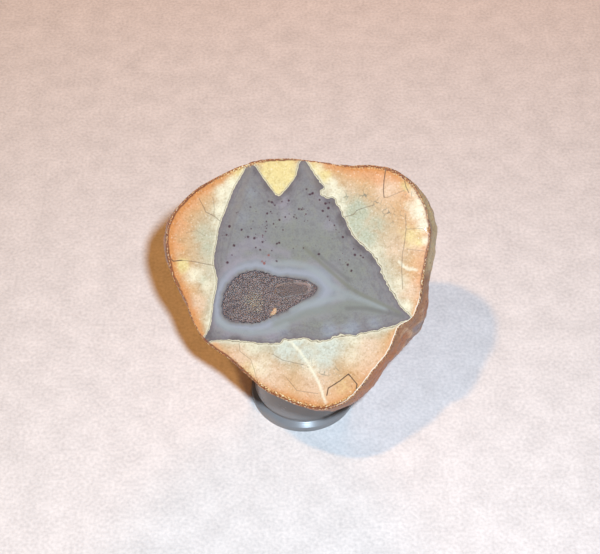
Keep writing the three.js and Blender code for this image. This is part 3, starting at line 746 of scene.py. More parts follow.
def polished_face_material(scene):
    """Rhyolite and agate, diamond-sawn and polished: a hard even gloss over zoned colour."""
    rock, agate = scene.rhyolite_colours, scene.agate_colours
    material, add = new_material("rhyolite_and_agate_polished")
    place = add("ShaderNodeTexCoord").outputs["Object"]
    field = {name: add("ShaderNodeAttribute", attribute_name=name).outputs["Fac"]
             for name in ("wall", "share", "hollow", "skin", "dendrite", "rust", "crack", "crack_tone")}

    # Sizes: how far the edges of colours wander, clouds in the chalcedony, the rock's grains and its mottles.
    waver = add("ShaderNodeTexNoise", {"Vector": place, "Scale": per_mm(0.9), "Detail": 3.0}).outputs["Fac"]
    cloud = add("ShaderNodeTexNoise", {"Vector": place, "Scale": per_mm(5.0), "Detail": 4.0}).outputs["Fac"]
    grain = add("ShaderNodeTexNoise", {"Vector": place, "Scale": per_mm(0.55), "Detail": 2.0}).outputs["Fac"]
    mottle = add("ShaderNodeTexNoise", {"Vector": place, "Scale": per_mm(1.7), "Detail": 3.0}).outputs["Fac"]

    # Rhyolite: iron stain at the rim that bleaches towards the agate.
    share = add("ShaderNodeMath", {0: cloud, 1: 0.36, 2: field["share"]}, operation="MULTIPLY_ADD").outputs[0]
    share = add("ShaderNodeMath", {0: share, 1: 0.18}, operation="SUBTRACT").outputs[0]
    shell = add("ShaderNodeValToRGB", {"Fac": share}, stops=[
        (0.02, rock.rim), (0.3, rock.flesh), (0.58, rock.sand), (0.88, rock.bleached)]).outputs["Color"]
    shell = lay_colours(add, shell, mottle, [
        ("peach", 0.15, 0.85, 0.5, 0.75, rock.peach),
        ("orange", 0.15, 0.85, 0.5, 0.75, rock.orange),
        ("green", 0.15, 0.85, 0.5, 0.85, rock.green),
        ("mint", 0.15, 0.85, 0.5, 0.9, rock.mint),
        ("yellow", 0.15, 0.75, 0.5, 0.9, rock.yellow),
        ("cream", 0.1, 1.0, 0.3, 0.85, rock.cream),
        ("stain", 0.1, 0.9, 0.5, 0.75, rock.stain)])
    shell = tinted(add, shell, mottle, 0.75, [(0.3, "#ebe3d9"), (0.5, "#fdfcfa"), (0.7, "#fffbf3")])
    shell = tinted(add, shell, grain, 0.7, [(0.3, "#ddd4c9"), (0.46, "#fbf9f6"), (0.6, "#ffffff")])
    glint = add("ShaderNodeMapRange", {"Value": grain, "From Min": 0.62, "From Max": 0.72, "To Max": 0.4},
                interpolation_type="SMOOTHSTEP").outputs[0]
    shell = add("ShaderNodeMix", {0: glint, 6: shell, 7: rock.edge_highlight}, data_type="RGBA").outputs[2]

    # Manganese dendrites: the edges of flat cells on the face, bent and broken up.
    across, upward = (
        add("ShaderNodeVectorMath", {0: place, 1: list(axis)}, operation="DOT_PRODUCT").outputs["Value"]
        for axis in AXES.T[:2])
    on_face = add("ShaderNodeCombineXYZ", {0: across, 1: upward}).outputs[0]
    bend = add("ShaderNodeTexNoise", {"Vector": place, "Scale": per_mm(1.1), "Detail": 3.0}).outputs["Color"]
    bend = add("ShaderNodeVectorMath", {0: bend, 3: 1.4 * MM}, operation="SCALE").outputs[0]
    bent = add("ShaderNodeVectorMath", {0: on_face, 1: bend}, operation="ADD").outputs[0]
    twig = add("ShaderNodeTexVoronoi", {"Vector": bent, "Scale": per_mm(1.7)}, voronoi_dimensions="2D",
               feature="DISTANCE_TO_EDGE").outputs["Distance"]
    twig = add("ShaderNodeMapRange", {"Value": twig, "From Min": 0.13, "From Max": 0.02}).outputs[0]
    twig = add("ShaderNodeMath", {0: twig, 1: field["dendrite"]}, operation="MULTIPLY").outputs[0]
    gaps = add("ShaderNodeMapRange", {"Value": mottle, "From Min": 0.44, "From Max": 0.56}).outputs[0]
    twig = add("ShaderNodeMath", {0: twig, 1: gaps}, operation="MULTIPLY").outputs[0]
    shell = add("ShaderNodeMix", {0: twig, 6: shell, 7: rock.dendrite}, data_type="RGBA").outputs[2]
    shell = lay_colours(add, shell, waver, [
        ("vein", 0.8, 0.0, 0.9, 0.7, rock.cream),
        ("chalk", -1.2, -0.5, 0.7, 0.3, rock.cream)])

    # Agate: chalcedony that greys from its walls to its middle, with stripes that follow the walls.
    depth = add("ShaderNodeMath", {0: cloud, 1: 2.5, 2: field["wall"]}, operation="MULTIPLY_ADD").outputs[0]
    depth = add("ShaderNodeMapRange", {"Value": depth, "From Min": 1.0, "From Max": 13.0}).outputs[0]
    body = add("ShaderNodeValToRGB", {"Fac": depth}, stops=[
        (0.0, agate.wall), (0.25, agate.band), (0.7, agate.core)]).outputs["Color"]
    body = lay_colours(add, body, cloud, [
        ("moss", 0.1, 0.9, 0.3, 0.85, agate.moss),
        ("lilac", 0.1, 0.9, 0.4, 0.8, agate.lilac),
        ("blue", 0.1, 0.9, 0.4, 0.8, agate.blue),
        ("dusk", 0.1, 0.9, 0.4, 0.85, agate.dusk)])
    inward = add("ShaderNodeMath", {0: cloud, 1: 2.0, 2: field["wall"]}, operation="MULTIPLY_ADD").outputs[0]
    stripes = add("ShaderNodeTexNoise", {"W": inward, "Scale": 0.7, "Detail": 1.5, "Roughness": 0.45},
                  noise_dimensions="1D").outputs["Fac"]
    near_wall = add("ShaderNodeMapRange", {
        "Value": field["wall"], "From Min": 2.5, "From Max": 6.5, "To Min": 0.7, "To Max": 0.0}).outputs[0]
    body = tinted(add, body, stripes, near_wall, [
        (0.3, "#dfd6da"), (0.46, "#f8f7f8"), (0.56, "#ffffff"), (0.72, "#e9f0f2")])
    body = tinted(add, body, mottle, 0.8, [(0.3, "#e9e6e8"), (0.48, "#faf9fa"), (0.66, "#fffff6")])
    body = tinted(add, body, grain, 0.7, [(0.3, "#e6e4e3"), (0.5, "#fbfbfb"), (0.7, "#ffffff")])

    # The bands round the hollow: place, colour, strength. Then the streaks that run to the corner.
    bands = add("ShaderNodeMath", {0: cloud, 1: 1.8, 2: field["hollow"]}, operation="MULTIPLY_ADD").outputs[0]
    bands = add("ShaderNodeMapRange", {"Value": bands, "From Min": 0.9, "From Max": 6.9}).outputs[0]
    bands = add("ShaderNodeValToRGB", {"Fac": bands}, stops=[(k, (*shade[:3], alpha)) for k, shade, alpha in (
        (0.0, agate.dusk, 0.7), (0.07, agate.band, 0.6), (0.15, agate.halo, 0.6), (0.25, agate.glow, 0.85),
        (0.37, agate.glow, 0.7), (0.48, agate.halo, 0.5), (0.62, agate.lilac, 0.4),
        (0.85, agate.lilac, 0.0))])
    body = add("ShaderNodeMix", {0: bands.outputs["Alpha"], 6: body, 7: bands.outputs["Color"]},
               data_type="RGBA").outputs[2]
    body = lay_colours(add, body, cloud, [
        ("tan", 1.7, 0.0, 0.5, 0.3, agate.tan),
        ("pinkish", 2.2, 0.0, 1.2, 0.35, agate.pinkish),
        ("sage", 2.6, 0.4, 0.8, 0.6, agate.sage),
        ("bright", 1.8, 0.0, 0.9, 0.6, agate.bright),
        ("olive", 1.0, 0.1, 0.5, 0.75, agate.olive),
        ("shade", 1.1, 0.1, 0.5, 0.6, agate.shade)])

    # Iron oxide in the agate: round grains of dust in some of the cells, and the specks.
    cells = add("ShaderNodeTexVoronoi", {"Vector": on_face, "Scale": per_mm(0.95)}, voronoi_dimensions="2D")
    chance = add("ShaderNodeSeparateColor", {0: cells.outputs["Color"]}).outputs[0]
    chance = add("ShaderNodeMath", {0: chance, 1: field["rust"]}, operation="MULTIPLY").outputs[0]
    dust = add("ShaderNodeMapRange", {
        "Value": chance, "From Min": 0.35, "From Max": 0.95, "To Max": 0.4}).outputs[0]
    dust = add("ShaderNodeMath", {0: dust, 1: cells.outputs["Distance"]}, operation="SUBTRACT").outputs[0]
    dust = add("ShaderNodeMapRange", {"Value": dust, "From Max": 0.14, "To Max": 0.8},
               interpolation_type="SMOOTHSTEP").outputs[0]
    body = add("ShaderNodeMix", {0: dust, 6: body, 7: agate.dust}, data_type="RGBA").outputs[2]
    body = lay_colours(add, body, grain, [
        ("speck", 0.25, 0.65, 0.6, 0.9, agate.speck),
        ("red_speck", 0.28, 0.62, 0.5, 0.8, agate.red)])

    # The cream skin with its dark seam, where the two meet: place, colour, strength.
    edge = add("ShaderNodeMath", {0: waver, 1: 0.5, 2: field["wall"]}, operation="MULTIPLY_ADD").outputs[0]
    edge = add("ShaderNodeMath", {0: edge, 1: 0.25}, operation="SUBTRACT").outputs[0]
    is_agate = add("ShaderNodeMapRange", {"Value": edge, "From Max": 0.15},
                   interpolation_type="SMOOTHSTEP").outputs[0]
    both = add("ShaderNodeMix", {0: is_agate, 6: shell, 7: body}, data_type="RGBA").outputs[2]
    skin = add("ShaderNodeMapRange", {"Value": edge, "From Min": -1.0, "From Max": 1.0}).outputs[0]
    skin = add("ShaderNodeValToRGB", {"Fac": skin}, stops=[(k, (*shade[:3], alpha)) for k, shade, alpha in (
        (0.22, agate.outline, 0.0), (0.27, agate.outline, 0.7), (0.32, agate.outline, 0.7),
        (0.35, agate.seam, 0.9), (0.4, agate.seam, 0.9), (0.43, agate.outline, 0.95),
        (0.52, agate.outline, 0.95), (0.56, agate.dusk, 0.9), (0.66, agate.dusk, 0.5),
        (0.95, agate.dusk, 0.0))])
    shown = add("ShaderNodeMath", {0: skin.outputs["Alpha"], 1: field["skin"]},
                operation="MULTIPLY").outputs[0]
    both = add("ShaderNodeMix", {0: shown, 6: both, 7: skin.outputs["Color"]}, data_type="RGBA").outputs[2]

    # The edge of the cut: breaks, rusty grit whose palest grains are painted glints, stain, and a painted
    # highlight line.
    grit = add("ShaderNodeTexNoise", {"Vector": place, "Scale": per_mm(0.42), "Detail": 2.0}).outputs["Fac"]
    grit = add("ShaderNodeValToRGB", {"Fac": grit}, stops=[
        (0.42, rock.edge_stain), (0.5, rock.stain), (0.6, rock.yellow),
        (0.7, rock.edge_highlight)]).outputs["Color"]
    both = lay_colours(add, both, grain, [
        ("broken", 0.3, 1.2, 0.8, 0.6, rock.fracture),
        ("grit", 0.3, 0.7, 1.0, 0.9, grit),
        ("edge_stain", 0.12, 0.55, 0.5, 0.9, rock.edge_stain),
        ("edge_highlight", 0.3, 0.8, 0.5, 0.95, rock.edge_highlight)])

    # Cracks filled with iron.
    ragged = add("ShaderNodeMath", {0: waver, 1: 1.0, 2: field["crack"]}, operation="MULTIPLY_ADD").outputs[0]
    line = add("ShaderNodeMapRange", {"Value": ragged, "From Min": 2.0, "From Max": 1.0},
               interpolation_type="SMOOTHSTEP").outputs[0]
    line = add("ShaderNodeMath", {0: line, 1: field["crack_tone"]}, operation="MULTIPLY").outputs[0]
    both = add("ShaderNodeMix", {0: line, 6: both, 7: rock.crack}, data_type="RGBA").outputs[2]

    gloss = add("ShaderNodeMapRange", {"Value": grain, "To Min": 0.05, "To Max": 0.1}).outputs[0]
    gloss = add("ShaderNodeMix", {0: is_agate, 2: gloss, 3: 0.06}, data_type="FLOAT").outputs[0]
    bump = add("ShaderNodeBump", {"Height": grain, "Distance": 0.01 * MM, "Strength": 0.4}).outputs[0]
    shader = add("ShaderNodeBsdfPrincipled", {
        "Base Color": both, "Roughness": gloss, "IOR": 1.54, "Normal": bump})
    add("ShaderNodeOutputMaterial", {"Surface": shader.outputs[0]})
    return material


def rind_material(scene):
    """Weathered rhyolite rind, tumbled clean: warty, half glossy, iron-brown with rubbed high places."""
    rind = scene.rind_colours
    material, add = new_material("rhyolite_rind_weathered")
    place = add("ShaderNodeTexCoord").outputs["Object"]
    cloud = add("ShaderNodeTexNoise", {"Vector": place, "Scale": per_mm(3.5), "Detail": 5.0}).outputs["Fac"]
    grain = add("ShaderNodeTexNoise", {"Vector": place, "Scale": per_mm(0.7), "Detail": 3.0}).outputs["Fac"]
    relief, bevel = (add("ShaderNodeAttribute", attribute_name=name).outputs["Fac"]
                     for name in ("relief", "bevel"))
    high = add("ShaderNodeMath", {0: cloud, 1: 0.9, 2: relief}, operation="MULTIPLY_ADD").outputs[0]
    high = add("ShaderNodeMapRange", {"Value": high}).outputs[0]
    skin = add("ShaderNodeValToRGB", {"Fac": high}, stops=[
        (0.12, rind.pit), (0.42, rind.brown), (0.62, rind.brown), (0.9, rind.knob)]).outputs["Color"]
    skin = lay_colours(add, skin, cloud, [
        ("amber", 0.2, 0.8, 0.8, 0.7, rind.amber),
        ("rind_olive", 0.2, 0.8, 0.8, 0.8, rind.olive),
        ("pink", 0.2, 0.8, 0.8, 0.75, rind.pink),
        ("purple", 0.25, 0.75, 0.6, 0.8, rind.purple)])
    skin = tinted(add, skin, grain, 0.8, [(0.28, "#b9a596"), (0.55, "#ffffff")])

    # The eased edge is ground grit, matt; its palest grains are painted sparkle.
    grit = add("ShaderNodeTexNoise", {"Vector": place, "Scale": per_mm(0.42), "Detail": 2.0}).outputs["Fac"]
    grit = add("ShaderNodeValToRGB", {"Fac": grit}, stops=[
        (0.44, rind.pit), (0.52, rind.amber), (0.63, rind.olive), (0.72, rind.fleck)]).outputs["Color"]
    covered = add("ShaderNodeMath", {0: bevel, 1: 0.75}, operation="MULTIPLY").outputs[0]
    skin = add("ShaderNodeMix", {0: covered, 6: skin, 7: grit}, data_type="RGBA").outputs[2]

    dots = add("ShaderNodeTexVoronoi", {"Vector": place, "Scale": per_mm(1.1)}, feature="F1")
    dot = add("ShaderNodeMath", {0: dots.outputs["Distance"], 1: cloud}, operation="ADD").outputs[0]
    fleck = add("ShaderNodeMapRange", {"Value": dot, "From Min": 0.56, "From Max": 0.42, "To Max": 0.85},
                interpolation_type="SMOOTHSTEP").outputs[0]
    skin = add("ShaderNodeMix", {0: fleck, 6: skin, 7: rind.fleck}, data_type="RGBA").outputs[2]
    gloss = add("ShaderNodeMapRange", {
        "Value": grain, "From Min": 0.3, "From Max": 0.7, "To Min": 0.24, "To Max": 0.52}).outputs[0]
    gloss = add("ShaderNodeMix", {0: bevel, 2: gloss, 3: 0.75}, data_type="FLOAT").outputs[0]
    bump = add("ShaderNodeBump", {"Height": grain, "Distance": 0.12 * MM, "Strength": 0.9}).outputs[0]
    shader = add("ShaderNodeBsdfPrincipled", {
        "Base Color": skin, "Roughness": gloss, "IOR": 1.52, "Normal": bump})
    add("ShaderNodeOutputMaterial", {"Surface": shader.outputs[0]})
    return material


def quartz_material(scene):
    """Drusy quartz, grown: small glassy points over a smoky grey-brown foot."""
    quartz = scene.quartz_colours
    material, add = new_material("drusy_quartz_grown")
    place = add("ShaderNodeTexCoord").outputs["Object"]
    cloud = add("ShaderNodeTexNoise", {"Vector": place, "Scale": per_mm(1.4), "Detail": 3.0}).outputs["Fac"]
    tip, tone = (add("ShaderNodeAttribute", attribute_name=name).outputs["Fac"] for name in ("tip", "tone"))
    height = add("ShaderNodeMath", {0: tip, 1: tone}, operation="MULTIPLY").outputs[0]
    body = add("ShaderNodeMix", {0: height, 6: quartz.root, 7: quartz.point}, data_type="RGBA").outputs[2]
    body = lay_colours(add, body, cloud, [
        ("warm", 0.3, 0.9, 0.5, 0.8, quartz.warm),
        ("edge", 1.4, 0.1, 0.8, 0.6, quartz.edge),
        ("finger", -0.3, 0.3, 0.3, 0.85, quartz.finger),
        ("finger_line", 0.28, 0.05, 0.3, 0.6, quartz.finger_edge),
        ("chip", 0.4, 0.6, 0.0, 1.0, quartz.chip)])
    shader = add("ShaderNodeBsdfPrincipled", {
        "Base Color": body, "Roughness": 0.75, "IOR": 1.544, "Subsurface Weight": 1.0,
        "Subsurface Radius": (1.0, 1.0, 1.0), "Subsurface Scale": 2.0 * MM})
    add("ShaderNodeOutputMaterial", {"Surface": shader.outputs[0]})
    return material


def hollow_material(scene):
    """The agate's own wall inside the hollow: chalcedony, matt where the crystals broke away."""
    quartz, agate = scene.quartz_colours, scene.agate_colours
    material, add = new_material("chalcedony_wall_matt")
    place = add("ShaderNodeTexCoord").outputs["Object"]
    cloud = add("ShaderNodeTexNoise", {"Vector": place, "Scale": per_mm(0.9), "Detail": 3.0}).outputs["Fac"]
    body = add("ShaderNodeMix", {0: cloud, 6: quartz.edge, 7: agate.halo}, data_type="RGBA").outputs[2]
    shader = add("ShaderNodeBsdfPrincipled", {"Base Color": body, "Roughness": 0.4, "IOR": 1.54})
    add("ShaderNodeOutputMaterial", {"Surface": shader.outputs[0]})
    return material


def stand_material(scene):
    """Neutral grey acrylic, moulded and turned: an even satin gloss with faint rings of the lathe."""
    plastic = scene.stand_colours.plastic
    material, add = new_material("grey_acrylic_turned")
    place = add("ShaderNodeTexCoord").outputs["Object"]
    height = add("ShaderNodeSeparateXYZ", {0: place}).outputs["Z"]
    # A lathe's feed is finer than these rings, which are as coarse as they need to be to show.
    rings = add("ShaderNodeTexNoise", {"W": height, "Scale": per_mm(0.35), "Detail": 2.0},
                noise_dimensions="1D").outputs["Fac"]
    cloud = add("ShaderNodeTexNoise", {"Vector": place, "Scale": per_mm(4.0), "Detail": 3.0}).outputs["Fac"]
    gloss = add("ShaderNodeMapRange", {"Value": cloud, "To Min": 0.24, "To Max": 0.29}).outputs[0]
    bump = add("ShaderNodeBump", {"Height": rings, "Distance": 0.03 * MM, "Strength": 0.4}).outputs[0]
    dusty = [c * 0.92 for c in plastic[:3]] + [1.0]
    body = add("ShaderNodeMix", {0: cloud, 6: dusty, 7: plastic}, data_type="RGBA").outputs[2]
    shader = add("ShaderNodeBsdfPrincipled", {
        "Base Color": body, "Roughness": gloss, "IOR": 1.49, "Normal": bump})
    add("ShaderNodeOutputMaterial", {"Surface": shader.outputs[0]})
    return material


def card_material(studio):
    """Uncoated pale card, pressed: matt, with a faint fibre."""
    material, add = new_material("pale_card_matt")
    place = add("ShaderNodeTexCoord").outputs["Object"]
    # Fibres are finer than this, which is as coarse as it needs to be to show.
    fibre = add("ShaderNodeTexNoise", {"Vector": place, "Scale": per_mm(1.1), "Detail": 4.0}).outputs["Fac"]
    cloud = add("ShaderNodeTexNoise", {"Vector": place, "Scale": per_mm(9.0), "Detail": 4.0}).outputs["Fac"]
    both = add("ShaderNodeMath", {0: cloud, 1: 0.6, 2: fibre}, operation="MULTIPLY_ADD").outputs[0]
    body = add("ShaderNodeMapRange", {"Value": both, "From Min": 0.5, "From Max": 1.1}).outputs[0]
    darker = [c * 0.8 for c in studio.floor[:3]] + [1.0]
    lighter = [min(c * 1.12, 1.0) for c in studio.floor[:3]] + [1.0]
    body = add("ShaderNodeMix", {0: body, 6: darker, 7: lighter}, data_type="RGBA").outputs[2]
    shader = add("ShaderNodeBsdfPrincipled", {"Base Color": body, "Roughness": 0.85, "IOR": 1.45})
    add("ShaderNodeOutputMaterial", {"Surface": shader.outputs[0]})
    return material


# ---------- the stone ----------

def directions(rounds, downs):
    """Unit directions from the face's middle: degrees round the face and degrees below it."""
    r, d = np.radians(rounds), np.radians(downs)
    return np.column_stack([np.cos(d) * np.cos(r), np.cos(d) * np.sin(r), -np.sin(d)])


def solid_reach(rounds, downs):
    """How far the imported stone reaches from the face's middle in each direction, in millimetres."""
    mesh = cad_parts["thunder_egg_half"].data
    skin = BVHTree.FromPolygons([v.co for v in mesh.vertices], [tuple(p.vertices) for p in mesh.polygons])
    outward = directions(rounds, downs) @ AXES.T
    far = 90 * MM
    reach = []
    for way in outward:
        way = Vector(way)
        _, _, _, distance = skin.ray_cast(MIDDLE + way * far, -way, far)
        if distance is None:
            raise RuntimeError("the packed stone isn't where the face is expected")
        reach.append((far - distance) / MM)
    return np.array(reach)


def hollow_ring(count, margin=0.0):
    """The hollow's outline, drawn in by a margin and wavering a little."""
    degrees = np.arange(count) * 360.0 / count
    reach = reach_round(HOLLOW_REACH, degrees) - margin
    turn = np.radians(degrees)
    reach = reach + (0.12 * np.sin(turn * 23) + 0.09 * np.sin(turn * 41 + 1))
    return np.column_stack([HOLLOW_MIDDLE[0] + reach * np.cos(turn), HOLLOW_MIDDLE[1] + reach * np.sin(turn)])


def rind_relief(points, downs, sizes):
    """Knobs, warts, pits and grain of the rind, in millimetres, fading out towards the face."""
    random = np.random.RandomState(12)
    ridges = 1 - np.abs(noise(points, 5.5, 3)) * 2
    relief = sizes.knobs / MM * (0.6 * ridges + layered_noise(points, 3.4, 11))
    relief += sizes.grain / MM * layered_noise(points, 1.1, 29, 2)
    seeds = points[random.choice(len(points), WARTS, replace=False)]
    widths = random.uniform(0.6, 1.7, len(seeds))
    heights = random.uniform(0.3, 1.0, len(seeds))
    heights = heights * np.where(random.rand(len(seeds)) < PIT_SHARE, -0.9, 1.0)
    for seed, width, height in zip(seeds, widths, heights):
        near = np.sum((points - seed) ** 2, axis=1)
        relief += sizes.warts / MM * height * np.exp(-near / (width * width))
    return relief * (0.25 + 0.75 * smoothstep(downs, 1.5, 7))


def face_fields(points, rim_path, hollow_path):
    """Everything the polished face's material reads, at points on the face, in millimetres or as a share."""
    # The agate's wall is more ragged at the right and along the bottom.
    wall = signed_distance(rounded(AGATE), points)
    space = np.column_stack([points, np.zeros(len(points))])
    rough_side = np.maximum(smoothstep(points[:, 0], 2, 8), smoothstep(points[:, 1], -12, -16))
    wall += (0.12 + 0.3 * rough_side) * layered_noise(space, 1.7, 83, 2)
    rim = np.maximum(signed_distance(rim_path, points), 0)
    hollow = np.maximum(-signed_distance(hollow_path, points), 0)
    notch = (smoothstep(points[:, 1], 22, 26) * smoothstep(points[:, 0], -17, -15)
             * smoothstep(points[:, 0], 0.5, -1))
    fields = {
        "wall": wall,
        "hollow": hollow / (1 + 0.8 * smoothstep(points[:, 0], -6, 10)),
        "skin": 0.75 + 0.25 * rough_side,
        "share": rim / (rim + np.maximum(-wall, 0) + 1e-6),
        "vein": np.min([distance_to(run, points) for run in VEINS], axis=0),
        "chalk": wall - 9 * notch,
    }

    # How far the nearest crack is, in its own half widths, and how dark it is.
    far = 9.0
    crack = np.full(len(points), far)
    tone = np.zeros(len(points))
    for darkness, half_width, run in CRACKS:
        away = distance_to(run, points) / half_width
        nearer = away < crack
        crack = np.where(nearer, away, crack)
        tone = np.where(nearer, darkness, tone)
    fields["crack"], fields["crack_tone"] = crack, tone

    # Specks, each with its own radius and strength.
    random = np.random.RandomState(5)
    for name, dots, least, most in (("speck", SPECKS + EDGE_DOTS, 0.2, 0.42),
                                    ("red_speck", RED_SPECKS, 0.35, 0.5)):
        spots = np.array(dots)
        radius = random.uniform(least, most, len(spots))
        strength = random.uniform(0.6, 1, len(spots)) * np.minimum(1, radius / least * 0.7)
        away = np.hypot(points[:, None, 0] - spots[None, :, 0], points[:, None, 1] - spots[None, :, 1])
        fields[name] = np.max(np.clip(1 - away / (2 * radius), 0, 1) * strength, axis=1)

    # Lines along the edge of the cut, each as wide as it says in millimetres: a painted highlight, an iron
    # stain and grit.
    degrees = np.degrees(np.arctan2(points[:, 1], points[:, 0]))
    for name, width, rows in (("edge_highlight", 0.5, EDGE_HIGHLIGHT), ("edge_stain", 0.8, DARK_LINE),
                              ("grit", 1.7, GRIT)):
        fields[name] = np.clip(1 - rim / width, 0, 1) * reach_round(rows, degrees)
    fields["stain"] = np.exp(-((rim / 2.2) ** 2)) * reach_round(STAIN, degrees)

    for name, runs in STREAKS.items():
        fields[name] = np.min([distance_to(rounded(run, False, 2), points) for run in runs], axis=0)
    for name, rows in PATCHES.items():
        fields[name] = patch_field(rows, points)
    fields["dusk"] = fields["dusk"] * np.exp(-(np.maximum(wall, 0) / 2.4) ** 2) * 1.2
    return fields


def lowered_by_chips(points):
    """How far the breaks at the edge lower each point of the face, and less the deeper a point lies."""
    drop = np.zeros(len(points))
    rough = 1 + 0.35 * noise(points, 0.8, 51)
    for x, y, radius, depth in CHIPS:
        away = np.hypot(points[:, 0] - x, points[:, 1] - y) / radius
        drop = np.maximum(drop, depth * rough * np.clip(1 - away * away, 0, 1))
    return drop * np.exp(points[:, 2] / 1.5)


class THUNDER_EGG_OT_stone(bpy.types.Operator):
    """Build the cut stone: polished face, hollow and knobbly rind"""

    bl_idname = "thunder_egg.build_stone"
    bl_label = "Build Stone"

    def execute(self, context):
        # The rind: rings of points in degrees below the face, closest together next to it.
        sizes = context.scene.egg_sizes
        count = sizes.sides
        rounds = np.arange(count) * 360.0 / count
        downs = np.concatenate([np.linspace(0.9, 14, 22), np.linspace(14.9, 88.6, 80)])
        all_rounds = np.tile(rounds, len(downs))
        all_downs = np.repeat(downs, count)
        reach = blurred(solid_reach(all_rounds, all_downs).reshape(len(downs), count), 1.3, 2.0).ravel()
        reach += reach_round(SWELL, all_rounds) * smoothstep(all_downs, 34, 20)
        back = directions(all_rounds, all_downs) * reach[:, None]
        relief = rind_relief(back, all_downs, sizes)
        back = back * (1 + relief / reach)[:, None]

        # The eased edge between rind and face, with small nicks.
        edge = np.column_stack([back[:count, 0], back[:count, 1]])
        length = np.linalg.norm(edge, axis=1)
        nicks = sizes.bevel / MM * (1 + 0.5 * noise(np.column_stack([edge, np.zeros(count)]), 1.6, 71))
        lap = np.maximum(nicks, reach_round(LAP, rounds) + nicks - sizes.bevel / MM)
        rings = [np.column_stack([edge * (1 - inward * lap / length)[:, None], -down * lap])
                 for inward, down in EASED_EDGE]
        rings += [back[k * count:(k + 1) * count] for k in range(len(downs))]
        rim = rings[0][:, :2]

        # The flat face, with points along its cracks, at its specks and round them.
        hollow = hollow_ring(HOLLOW_SIDES)
        cracks = []
        for _, _, run in CRACKS:
            points = along(run, 0.4)
            points = points[signed_distance(rim, points) > 0.5]
            if len(points) > 1:
                cracks.append(points)
        spots = np.array(SPECKS + EDGE_DOTS + RED_SPECKS)
        turn = np.arange(6) * math.pi / 3
        loose = np.vstack([spots] + [spots + 0.3 * np.array([math.cos(a), math.sin(a)]) for a in turn])
        flat, flat_faces = triangulated([rim, hollow], cracks, loose, sizes.grid / MM,
                                        lambda spots: inside(rim, spots) & ~inside(hollow, spots))

        # The wall and floor of the hollow, under the crystals.
        shares = np.concatenate([np.linspace(1, 0.9, 5), [0.78, 0.58, 0.3]])
        dish_shares, dish_depths = np.array(HOLLOW_DISH).T
        depth = np.interp(-shares, -dish_shares, dish_depths) * sizes.hollow / MM
        dish = [np.column_stack([np.array(HOLLOW_MIDDLE) + (hollow - HOLLOW_MIDDLE) * share,
                                 np.full(HOLLOW_SIDES, -low)]) for share, low in zip(shares, depth)]

        # One mesh of the three, each with its own material.
        points = [np.column_stack([flat, np.zeros(len(flat))])]
        points += rings + [rings[-1].mean(axis=0)[None] + [[0, 0, -0.05]]]
        points += dish + [[[*HOLLOW_MIDDLE, -sizes.hollow / MM]]]
        rind_faces = bowl_faces(len(flat), len(rings), count)
        dish_start = len(flat) + len(rings) * count + 1
        dish_faces = [face[::-1] for face in bowl_faces(dish_start, len(dish), HOLLOW_SIDES)]
        faces = flat_faces.tolist() + rind_faces + dish_faces
        sorts = [0] * len(flat_faces) + [1] * len(rind_faces) + [2] * len(dish_faces)
        mesh = new_mesh("thunder_egg", to_world(np.vstack(points)), faces, sorts)

        # What the face's material reads, and the breaks at the face's edge.
        place = local_points(mesh)
        on_top = place[:, 2] > -1.2
        fields = {}
        for name, values in face_fields(place[on_top, :2], rim, hollow).items():
            fields[name] = np.zeros(len(place))
            fields[name][on_top] = values
        drop = np.where(on_top, lowered_by_chips(place), 0)
        place[:, 2] -= drop
        fields["broken"] = smoothstep(drop, 0.0, 0.1)
        mesh.vertices.foreach_set("co", to_world(place).ravel())

        # What the rind's material reads.
        round_here = np.degrees(np.arctan2(place[:, 1], place[:, 0]))
        down_here = np.degrees(np.arctan2(-place[:, 2], np.hypot(place[:, 0], place[:, 1])))
        here = directions(round_here, down_here)
        for name, rows in RIND_PATCHES.items():
            fields[name] = np.zeros(len(place))
            for r, d, spread, strength in rows:
                middle = directions(np.array([r]), np.array([d]))[0]
                away = np.degrees(np.arccos(np.clip(here @ middle, -1, 1)))
                fields[name] = np.maximum(fields[name], strength * np.exp(-((away / spread) ** 2)))
        column = np.rint(np.mod(round_here, 360) / 360 * count).astype(int) % count
        row = np.clip(np.searchsorted(downs, down_here - 0.2), 0, len(downs) - 1)
        relief_here = relief.reshape(len(downs), count)[row, column]
        fields["relief"] = np.where(on_top & (place[:, 2] > -0.4), 0, relief_here)
        fields["bevel"] = smoothstep(place[:, 2], -1.4, -0.5)

        add_fields(mesh, fields)
        mesh.shade_smooth()
        mesh.set_sharp_from_angle(angle=math.radians(40))
        sharpen_borders(mesh)
        mesh.update()
        materials = [polished_face_material(context.scene), rind_material(context.scene),
                     hollow_material(context.scene)]
        show_piece("thunder_egg", mesh, materials, "rhyolite_and_agate", "thunder_egg_half")
        return {"FINISHED"}


# ---------- the crystals ----------

def crystal(foot, axis, half_width, length, twist, lop):
    """One quartz point: six sides, six unequal faces at its tip, closed at the foot. Points and faces."""
    up = Vector(axis).normalized()
    side = up.orthogonal().normalized()
    other = up.cross(side)
    turn = twist + np.arange(6) * math.pi / 3
    ring = [(side * math.cos(a) + other * math.sin(a)) * half_width for a in turn]
    foot = Vector(foot)
    shoulder = length - half_width * 0.5
    sunk = 0.4  # into the sheet, in millimetres
    points = [foot + p - up * sunk for p in ring]
    points += [foot + p * 0.92 + up * (shoulder + 0.25 * half_width * (-1) ** k) for k, p in enumerate(ring)]
    points.append(foot + up * length + (side * lop[0] + other * lop[1]) * half_width * 0.35)
    faces = [(k, (k + 1) % 6, 6 + (k + 1) % 6, 6 + k) for k in range(6)]
    faces += [(6 + k, 6 + (k + 1) % 6, 12) for k in range(6)]
    faces.append((5, 4, 3, 2, 1, 0))
    return points, faces


